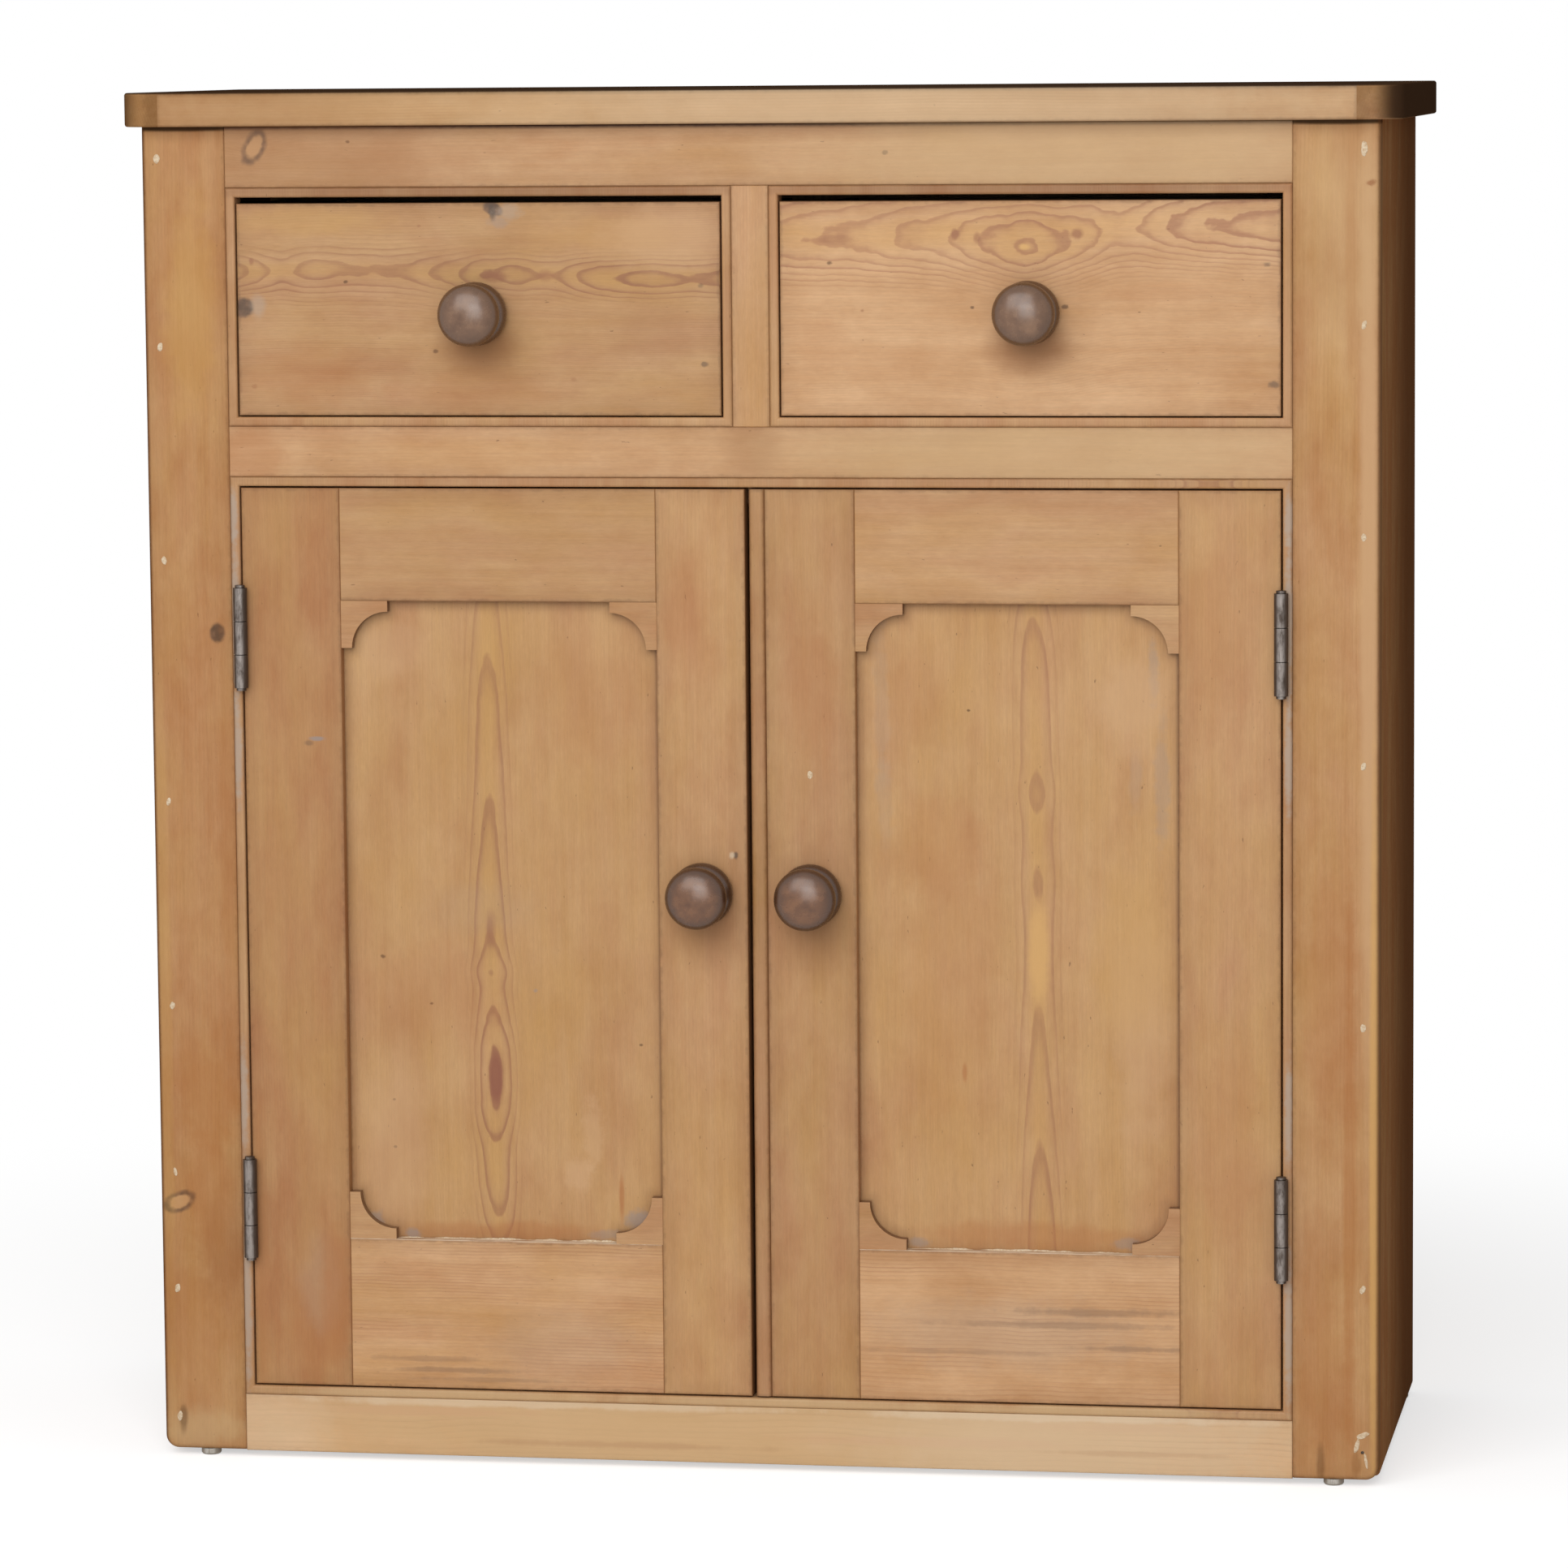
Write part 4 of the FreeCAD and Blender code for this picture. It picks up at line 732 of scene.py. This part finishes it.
def dress_drawers():
    """Two flat-sawn fronts with the flames near their heads."""
    dress("drawer_left_front", "X", 21.3, (0, 48, 1.55, 0.91, 0.12, 0.2, 0), {
        "Level mid": 3.5, "Level reach": 46, "Wobble": 0.5, "Flick": 0.25, "Flick length": 26, "Jag": 0.6,
        "Flame": 0.95, "Flame width": 20, "Line": 0.3, "Dirt and shade": 0.35, "Haze": 0.15},
        ridge=LEFT_DRAWER_RINGS, axis=LEFT_DRAWER_AXIS,
        knots=(solid_knot(-230.5, 1121, 5.5, 3, (12, 24), 1.7, 25),
               solid_knot(-457, 1034.6, 8.5, 3, (12, 20), 1.1)))
    dress("drawer_right_front", "X", 26.9, (0, 66, 2.0, 1.08, -0.22, -0.12, 0), {
        "Level mid": 3.0, "Level reach": 58, "Skew": 0.25, "Wobble": 0.7, "Flick": 0.5, "Flick length": 22,
        "Jag": 1.2, "Flame": 0.85, "Flame width": 38, "Line": 0.13, "Dirt and shade": 0.35, "Haze": 0.12},
        ridge=RIGHT_DRAWER_RINGS, axis=RIGHT_DRAWER_AXIS)


LEFT_PANEL_RINGS = (
    (202, 4.3), (214, 4.7), (222, 5.0), (235, 5.3), (250, 5.6), (275, 5.82), (289, 6.02), (300, 6.4),
    (317, 6.95), (332, 7.15), (348, 7.22), (364, 7.15), (379, 6.95), (395, 6.45), (405, 6.2),
    (414, 5.98), (430, 5.8), (444, 6.06), (456, 5.6), (470, 5.2), (493, 4.98), (510, 4.8), (532, 4.62),
    (555, 4.4), (575, 4.2), (601, 3.98), (655, 3.68), (690, 3.5), (713, 3.22), (733, 2.98), (775, 2.5))
LEFT_PANEL_AXIS = ((202, -238), (300, -241), (348, -240), (414, -242), (500, -244), (600, -243),
                   (775, -243))
RIGHT_PANEL_RINGS = (
    (202, 3.9), (250, 3.5), (283, 3.22), (311, 2.98), (323, 2.8), (354, 2.5), (385, 2.33), (403, 2.2),
    (430, 1.98), (445, 1.86), (480, 1.84), (500, 1.92), (509, 2.0), (528, 2.12), (545, 2.02),
    (552, 1.94), (566, 1.88), (578, 1.94), (586, 2.02), (608, 2.3), (632, 2.0), (645, 1.92), (690, 1.8),
    (720, 1.65), (740, 1.42), (752, 1.22), (764, 0.98), (775, 0.7))
RIGHT_PANEL_AXIS = ((202, 250), (350, 248), (500, 248), (608, 247), (740, 245), (775, 244))
# Each door board: its grain and seed, the pith across it, the ring width, light, warmth and yellow.
DOOR_BOARDS = (
    ("left_hanging_stile", "Z", 31.1, 210, 2.6, 0.90, 0.66, 0.26),
    ("left_meeting_stile", "Z", 33.7, -150, 3.0, 0.96, 0.2, 0.32),
    ("left_top_rail", "X", 35.2, 180, 3.2, 0.92, 0.2, 0.15),
    ("left_bottom_rail", "X", 38.6, -160, 2.9, 1.08, 0.02, 0.06),
    ("right_meeting_stile", "Z", 41.9, 170, 2.8, 0.91, 0.3, 0.27),
    ("right_hanging_stile", "Z", 44.3, -200, 3.1, 0.97, 0.22, 0.38),
    ("right_top_rail", "X", 47.8, 150, 3.0, 1.0, 0.05, 0.1),
    ("right_bottom_rail", "X", 49.4, -120, 3.3, 1.1, -0.35, -0.15),
    ("right_meeting_bead", "Z", 51.6, 260, 2.6, 0.92, 0.35, 0.1))


def opening(side):
    """Half the width and height of the panel that shows."""
    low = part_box(f"door_{side}_bottom_rail")
    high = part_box(f"door_{side}_top_rail")
    stiles = sorted((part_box(f"door_{side}_{stile}_stile") for stile in ("hanging", "meeting")),
                    key=lambda box: box[0].x)
    return {"Half across": (stiles[1][0].x - stiles[0][1].x) / MM / 2,
            "Half along": (high[0].z - low[1].z) / MM / 2}


def dress_doors():
    """Rift-sawn stiles and rails round flat-sawn panels, and the corner brackets."""
    fine = {"Line": 0.1, "Flame": 0.25, "Dirt and shade": 0.3, "Haze": 0.15}
    for board, grain, seed, pith, ring, *tone in DOOR_BOARDS:
        low_rail = board.endswith("bottom_rail")
        grained = {"Line": 0.4, "Jag": 0.8, "Flick": 1.5} if low_rail else {}
        dress("door_" + board, grain, seed, (pith, 55, ring, *tone, 4), {**fine, **grained},
              patina=EDGE_PATINA, ledge=0.95 if low_rail else 0.0)
    # Dirt and shade darkens each panel round its edges and the brackets' curves, and High edge shade
    # paints shade along its right edge.
    panel = {"Corner": 42, "Inner corner": 32.5, "Dirt width": 2.2, "Dirt and shade": 0.25, "Haze": 0.24,
             "Line": 0.07, "Flick": 0.2, "Flick length": 60, "Level reach": 60, "Wobble": 0.4,
             "High edge shade": 0.5}
    dress("door_left_panel", "Z", 55.4, (0, 53, 1.9, 0.945, 0.12, 0.42, 0), {
        **panel, **opening("left"), "Level mid": 4.5, "Jag": 0.3, "Flame": 0.72, "Flame width": 21},
        ridge=LEFT_PANEL_RINGS, axis=LEFT_PANEL_AXIS)
    dress("door_right_panel", "Z", 58.5, (0, 52, 2.1, 0.97, 0.06, 0.46, 0), {
        **panel, **opening("right"), "Level mid": 2.0, "Jag": 0.15, "Flame": 0.75, "Flame width": 20},
        ridge=RIGHT_PANEL_RINGS, axis=RIGHT_PANEL_AXIS)
    # The brackets' cut edges are painted dark as shade.
    for side, seed in (("left", 61.0), ("right", 64.0)):
        dress(f"door_{side}_brackets", "X", seed, (500, 80, 2.8, 0.93, 0.25),
              {"Dirt and shade": 0.0, "Haze": 0.0, "Line": 0.15}, patina=BRACKET_EDGE_SHADE)


def dress_carcass():
    """Top, sides, back and the raw pine of the inside."""
    top = {"Line": 0.25, "Flame": 0.25, "Dirt and shade": 0.3, "Haze": 0.2}
    # The top's upward faces and its rounded ends are painted dark as shade; High edge shade darkens the
    # front board's top arris.
    shaded_top = (TOP_FACE_SHADE,)
    for node, grain, seed, sawn, edge, patina in (
            ("top_board_front", "X", 71.2, (320, 140, 2.4, 1.06, -0.6, -0.3), 0.7, shaded_top),
            ("top_board_rear", "X", 74.8, (320, 200, 2.4, 0.95, 0.0), 0.0, shaded_top),
            ("top_end_left", "Y", 77.1, (390, 160, 2.4, 0.8, 0.5, 0.4), 0.0, (TOP_FACE_SHADE, LEFT_END_SHADE)),
            ("top_end_right", "Y", 79.9, (-390, 160, 2.4, 0.9, 0.2), 0.0, (TOP_FACE_SHADE, RIGHT_END_SHADE))):
        dress(node, grain, seed, sawn, {**top, "High edge shade": edge}, patina=patina, gloss=0.0)
    for node, seed, pith in (("side_left", 82.4, -120), ("side_right", 85.6, 120)):
        dress(node, "Z", seed, (pith, 190, 4, 1.5, 0.85),
              {"Line": 0.3, "Flame": 0.5, "Dirt and shade": 0.4, "Rear": 0.6}, gloss=0.0, bump=0.1)
    inside = {
        "back_boards": "Z", "cupboard_floor": "X", "cupboard_shelf": "X", "runner_left": "Y",
        "runner_centre": "Y", "runner_right": "Y", "runner_back_rail": "X", "drawer_kickers": "Y",
        "door_stop": "X"}
    for side in ("left", "right"):
        for board, grain in (("side_left", "Y"), ("side_right", "Y"), ("back", "X"), ("bottom", "X")):
            inside[f"drawer_{side}_{board}"] = grain
    raw = {"Line": 0.3, "Flame": 0.5, "Dirt and shade": 0.25}
    for count, (node, grain) in enumerate(sorted(inside.items())):
        # The kickers' fronts are painted dark as shade: a low Light, and SHADE on faces turned to the
        # front.
        light, painted_shade = 0.95, {}
        if node == "drawer_kickers":
            light, painted_shade = 0.5, {"gloss": 0.0, "patina": KICKER_FRONT_SHADE}
        dress(node, grain, 90 + 2.7 * count, (30, 70, 4, light, 0.0), raw, **painted_shade)


# -------------------------------- knobs and metal

# A knob's face from its axis to its rim, and how far behind its front the neck's tint sets in, in m;
# NECK_SHARE of its half depth comes on top.
KNOB_RADIUS = 0.0275
NECK_START, NECK_SHARE = 0.02, 0.1
KNOB_DARK, KNOB_PALE = (88, 60, 42), (150, 119, 96)
KNOB_GRAIN, KNOB_NECK = srgb(92, 60, 38), srgb(70, 46, 28)


def knob_material(node, warmth, rim):
    """Dark turned wood: a rubbed grey-brown face with fine lathe rings, darker round the rim."""
    low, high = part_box(node)
    middle = (low + high) / 2
    material, tree, shader = new_material("wood_" + node)
    spot = coordinate(tree, "Object")
    across, _, up = split(vector_math("SUBTRACT", spot, tuple(middle)))
    radius = length(across, up) / KNOB_RADIUS
    cloud = noise(scaled(spot, 85, 85, 85), 4.0, 0.6)
    fine = noise(scaled(spot, 1100, 300, 260), 3.0, 0.6)
    tone = clamped(cloud * 1.7 + 0.5)
    dark, pale = (srgb(*(level * tint for level, tint in zip(wood, warmth)))
                  for wood in (KNOB_DARK, KNOB_PALE))
    colour = mix(tone, dark, pale)
    turned = noise(vector(radius * 26, 0.0, 0.0), 2.0, 0.6)
    grain = clamped(fine * 0.9 + turned * 0.7 + 0.35)
    colour = mix(grain * 0.45, colour, KNOB_GRAIN)
    colour = mix(smooth(radius, 0.5, 0.98, 0.0, 0.92), colour, rim)
    neck = (middle.y - low.y) * NECK_SHARE + low.y + NECK_START
    behind = smooth(split(spot)[1], neck, high.y, 0.0, 0.5)
    colour = mix(behind, colour, KNOB_NECK)
    put(colour, shader["Base Color"])
    put(0.27 + cloud * 0.2, shader["Roughness"])
    add_relief(shader, 0.15, 0.3 * MM, turned)
    put(0.65, shader["Specular IOR Level"])
    return material


def steel_material(name, clean, worn, metallic=0.75):
    """Old steel with brown patches."""
    material, tree, shader = new_material(name)
    spot = coordinate(tree, "Object")
    patches = noise(scaled(spot, 160, 160, 60), 4.0, 0.65)
    scratch = noise(scaled(spot, 700, 700, 90), 3.0, 0.6)
    wear = smooth(patches, -0.12, 0.22)
    colour = mix(wear * 0.9, clean, worn)
    colour = mix(smooth(scratch, -0.02, 0.25, 0.0, 0.6), colour, worn)
    # Faces turned away from the front take the dark tint: dirt and painted shade on the sides of barrels,
    # heads and glides.
    turned = split(coordinate(tree, "Normal"))[1]
    colour = mix(smooth(turned, -0.99, -0.72, 0.0, 0.95), colour, worn)
    put(colour, shader["Base Color"])
    put(0.42 + wear * 0.3, shader["Roughness"])
    add_relief(shader, 0.3, 0.3 * MM, patches)
    put(metallic, shader["Metallic"])
    return material


def dress_hardware():
    """Knobs, hinges, nails and glides."""
    for side in ("left", "right"):
        for kind, warmth, rim in (("drawer", (1.0, 0.96, 0.9), srgb(94, 64, 40)),
                                  ("door", (0.95, 0.82, 0.66), srgb(72, 46, 29))):
            node = f"{kind}_{side}_knob"
            assign(node, knob_material(node, warmth, rim))
    hinge = steel_material("hinge_steel", srgb(146, 137, 131), srgb(60, 45, 34), 0.35)
    for node in ("frame_hinge_leaves", "door_left_hinge_leaves", "door_right_hinge_leaves", "hinge_pins",
                 "frame_hinge_screws", "door_left_hinge_screws", "door_right_hinge_screws"):
        assign(node, hinge)
    assign("stile_nails", steel_material("nail_steel", srgb(96, 88, 80), srgb(60, 44, 34)))
    assign("glides", steel_material("glide_steel", srgb(190, 186, 178), srgb(140, 130, 116), 0.3))


# -------------------------------- putty and old residue

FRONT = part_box("stile_left")[0].y
# A dab of filler: its height, how deep its closed back lies in the wood, and the points in a loop.
DAB_PROUD = 0.35 * MM
DAB_SINK = 0.5 * MM
DAB_CORNERS = 18
# A dab's profile: shares of its outline, and how far out each lies as a share of its height.
DAB_RINGS = ((0.97, 0.35), (0.72, 0.85), (0.36, 1.0))


def putty_material():
    """Chalky filler, yellowed and rubbed thin in patches."""
    material, tree, shader = new_material("putty")
    spot = coordinate(tree, "Object")
    cloud = noise(scaled(spot, 420, 420, 420), 4.0, 0.65)
    colour = mix(smooth(cloud, -0.15, 0.2), PUTTY, srgb(196, 164, 126))
    colour = mix(smooth(cloud, 0.14, 0.3, 0.0, 0.8), colour, srgb(120, 96, 76))
    put(colour, shader["Base Color"])
    add_relief(shader, 0.3, 0.3 * MM, cloud)
    put(0.85, shader["Roughness"])
    put(0.15, shader["Specular IOR Level"])
    return material


def skin(mesh, loops):
    """Closes a row of equal loops of points: walls from loop to loop, and a cap at each end."""
    for outer, inner in zip(loops, loops[1:]):
        for spot in range(len(outer)):
            after = (spot + 1) % len(outer)
            mesh.faces.new((outer[spot], outer[after], inner[after], inner[spot]))
    mesh.faces.new(loops[0][::-1])
    mesh.faces.new(loops[-1])


def add_dab(mesh, draw, x, z, wide, high, face, lean=0.0):
    """A dab of filler on a face that looks along -Y: a low dome with a ragged rim, closed behind."""
    rings = ((1.0, DAB_SINK), *((share, -rise * DAB_PROUD) for share, rise in DAB_RINGS))
    bumps = [draw.uniform(0.78, 1.16) for _ in range(DAB_CORNERS)]
    bumps = [(bumps[spot - 1] + 2 * bumps[spot] + bumps[(spot + 1) % DAB_CORNERS]) / 4
             for spot in range(DAB_CORNERS)]
    loops = []
    for share, out in rings:
        loop = []
        for spot in range(DAB_CORNERS):
            angle = 2 * math.pi * spot / DAB_CORNERS
            across = wide / 2 * math.cos(angle) * bumps[spot] * share
            up = high / 2 * math.sin(angle) * bumps[spot] * share
            loop.append(mesh.verts.new(((x + across + lean * up) * MM, face + out, (z + up) * MM)))
        loops.append(loop)
    skin(mesh, loops)


# The residue in mm: how far apart its loops of points are, how far its back lies in the wood, and its
# height where it is thickest; then the points in a loop.
RIDGE_STEP = 2.5
RIDGE_SINK = 0.2
RIDGE_HEIGHT = 1.7
RIDGE_SIDES = 8


def add_ridge(mesh, draw, start, end, z, face):
    """A broken line of dried residue along a ledge, thick here and thin there, closed at both ends."""
    steps = int((end - start) / RIDGE_STEP)
    loops = []
    thick = 0.5
    for step in range(steps + 1):
        thick = min(1.0, max(0.05, thick + draw.uniform(-0.28, 0.28)))
        taper = min(1.0, step / 4, (steps - step) / 4)
        radius = RIDGE_HEIGHT * thick * taper + 0.05
        x = start + (end - start) * step / steps
        loop = []
        for side in range(RIDGE_SIDES):
            turn = 2 * math.pi * side / RIDGE_SIDES
            y = face - radius * 1.3 * MM * (1 - math.cos(turn)) / 2 + RIDGE_SINK * MM
            loop.append(mesh.verts.new((x * MM, y, (z - 0.1 + radius * math.sin(turn)) * MM)))
        loops.append(loop)
    skin(mesh, loops)


def finish_piece(name, mesh, material, body):
    """Turns mesh code into a piece of the model that rides on a body."""
    bmesh.ops.recalc_face_normals(mesh, faces=mesh.faces)
    data = bpy.data.meshes.new(name)
    mesh.to_mesh(data)
    mesh.free()
    for face in data.polygons:
        face.use_smooth = True
    data.materials.append(material)
    piece = add_object(name, data)
    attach(piece, body)


# Where filler hides the nails: place across, height and the dab's own size, in mm.
LEFT_DABS = ((36, 5, 9), (153, 5, 8), (259, 3.5, 8), (410, 5, 7), (594, 4.5, 7), (810, 5, 8),
             (1000, 5, 8), (1166, 6, 9))
RIGHT_DABS = ((176, 5, 8), (407, 5, 8), (636, 5, 8), (835, 5, 7), (1018, 5, 8), (1169, 6, 13))
LEFT_DAB_X, RIGHT_DAB_X = -533.5, 533.5
# The hooked smear of filler at the right foot, stroke by stroke, leaning in mm across per mm up.
FOOT_STROKES = ((528.5, 37, 4.5, 14, 0.25), (532.5, 45.5, 9, 5, 0.3), (536, 47.5, 7, 4, 0.4),
                (536.5, 24, 3, 16, -0.15))


def make_putty():
    """Filler over the nails and in the right door."""
    draw = random.Random(17)
    putty = putty_material()
    mesh = bmesh.new()
    for x, dabs in ((LEFT_DAB_X, LEFT_DABS), (RIGHT_DAB_X, RIGHT_DABS)):
        for z, wide, high in dabs:
            add_dab(mesh, draw, x, z, wide, high, FRONT, lean=draw.uniform(-0.15, 0.25))
    for x, z, wide, high, lean in FOOT_STROKES:
        add_dab(mesh, draw, x, z, wide, high, FRONT, lean=lean)
    finish_piece("nail_putty", mesh, putty, "carcass")
    mesh = bmesh.new()
    add_dab(mesh, draw, 47.6, 623.7, 5, 7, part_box("door_right_meeting_stile")[0].y)
    finish_piece("door_right_filler", mesh, putty, "right_door")


# Where the residue lies along each ledge, from and to in mm across, and how far its back lies behind
# the brackets' front face.
RESIDUE_SPANS = {"left": ((-332, -306), (-300, -180), (-176, -128)),
                 "right": ((128, 190), (194, 286), (292, 332))}
RESIDUE_BEHIND = 9.5 * MM


def make_residue():
    """Dried polish and paint along the ledges under the panels."""
    draw = random.Random(29)
    chalk = putty_material()
    for side, spans in RESIDUE_SPANS.items():
        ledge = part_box(f"door_{side}_bottom_rail")
        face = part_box(f"door_{side}_brackets")[0].y + RESIDUE_BEHIND
        mesh = bmesh.new()
        for start, end in spans:
            add_ridge(mesh, draw, start, end, ledge[1].z / MM, face)
        finish_piece(f"door_{side}_residue", mesh, chalk, f"{side}_door")


# -------------------------------- studio

# Where the photograph was taken from, in m, against the cupboard's front face and foot.
CAMERA_SPOT = (0.982, -5.692, 1.255)
CAMERA_YAW, CAMERA_PITCH, CAMERA_ROLL = (math.radians(turn) for turn in (9.55, 6.38, -0.48))
CAMERA_LENS, SENSOR = 151.64, 36.0


def make_camera():
    """Looks along +Y, then turned left, tipped down and rolled."""
    x, y, z = CAMERA_SPOT
    spot = Matrix.Translation((x, FRONT + y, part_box("side_left")[0].z + z))
    data = bpy.data.cameras.new("camera")
    data.lens, data.sensor_width = CAMERA_LENS, SENSOR
    data.clip_start, data.clip_end = 0.1, 100
    camera = add_object("camera", data)
    level = Matrix.Rotation(math.pi / 2, 4, "X")
    turn = Matrix.Rotation(CAMERA_YAW, 4, "Z") @ level
    tip = Matrix.Rotation(-CAMERA_PITCH, 4, "X")
    roll = Matrix.Rotation(CAMERA_ROLL, 4, "Z")
    camera.matrix_world = spot @ turn @ tip @ roll
    bpy.context.scene.camera = camera


# Each lamp's name, place and size in m, and power in W; all look at LIT_SPOT.
LAMPS = (("key", (-0.8, -4.3, 3.5), (5.0, 3.4), 127), ("fill", (0.6, -5.2, 1.6), (2.8, 2.5), 61))
LIT_SPOT = Vector((0, 0, 0.6))


def area_light(name, spot, size, power):
    data = bpy.data.lights.new(name, "AREA")
    data.shape, data.size, data.size_y = "RECTANGLE", size[0], size[1]
    data.energy = power
    light = add_object(name, data)
    light.location = spot
    light.rotation_mode = "QUATERNION"
    light.rotation_quaternion = (LIT_SPOT - Vector(spot)).to_track_quat("-Z", "Y")


def seen_directly(tree):
    """1 for what the camera, a mirror or a glass sees, 0 for what only lights."""
    path = given_by(add_node(tree, "LightPath"))
    return clamped(path["Is Camera Ray"] + path["Is Glossy Ray"] + path["Is Transmission Ray"])


# How strongly the white surroundings light the scene; seen directly they are plain white.
AMBIENT = 0.32
WHITE = (1, 1, 1, 1)


def make_world():
    world = bpy.data.worlds.new("studio")
    bpy.context.scene.world = world
    tree = emptied(world)
    strength = AMBIENT + seen_directly(tree) * (1 - AMBIENT)
    ground = made_from("Background", {"Color": WHITE, "Strength": strength})
    put(ground, add_node(tree, "OutputWorld").inputs[0])


FLOOR_HALF = 30.0
FLOOR_GREY = (0.8, 0.8, 0.8, 1)
# What the floor adds to its own shade where it is seen, and how far out it fades into white, in m.
FLOOR_LIFT = 0.56
FADE_START, FADE_END = 0.75, 1.9


def make_floor():
    """A pale floor that keeps the cupboard's shadow and runs out into the white."""
    mesh = bpy.data.meshes.new("floor")
    corners = [(x * FLOOR_HALF, y * FLOOR_HALF, 0) for x, y in ((-1, -1), (1, -1), (1, 1), (-1, 1))]
    mesh.from_pydata(corners, [], [(0, 1, 2, 3)])
    floor = add_object("floor", mesh)
    material = bpy.data.materials.new("floor")
    tree = emptied(material)
    matt = Value(add_node(tree, "BsdfDiffuse", {"Color": FLOOR_GREY}).outputs[0])
    seen = seen_directly(tree)
    lift = made_from("Emission", {"Color": WHITE, "Strength": seen * FLOOR_LIFT})
    near = made_from("AddShader", {0: matt, 1: lift})
    white = Value(add_node(tree, "Emission", {"Color": WHITE, "Strength": 1.0}).outputs[0])
    far = made_from("VectorMath", {0: coordinate(tree, "Object")}, "Value", operation="LENGTH")
    far = smooth(far, FADE_START, FADE_END) * seen
    both = made_from("MixShader", {0: far, 1: near, 2: white})
    put(both, add_node(tree, "OutputMaterial").inputs["Surface"])
    mesh.materials.append(material)


dress_frame()
dress_drawers()
dress_doors()
dress_carcass()
dress_hardware()
make_putty()
make_residue()
make_camera()
make_world()
make_floor()
for lamp in LAMPS:
    area_light(*lamp)
bpy.context.scene.view_settings.view_transform = "Standard"
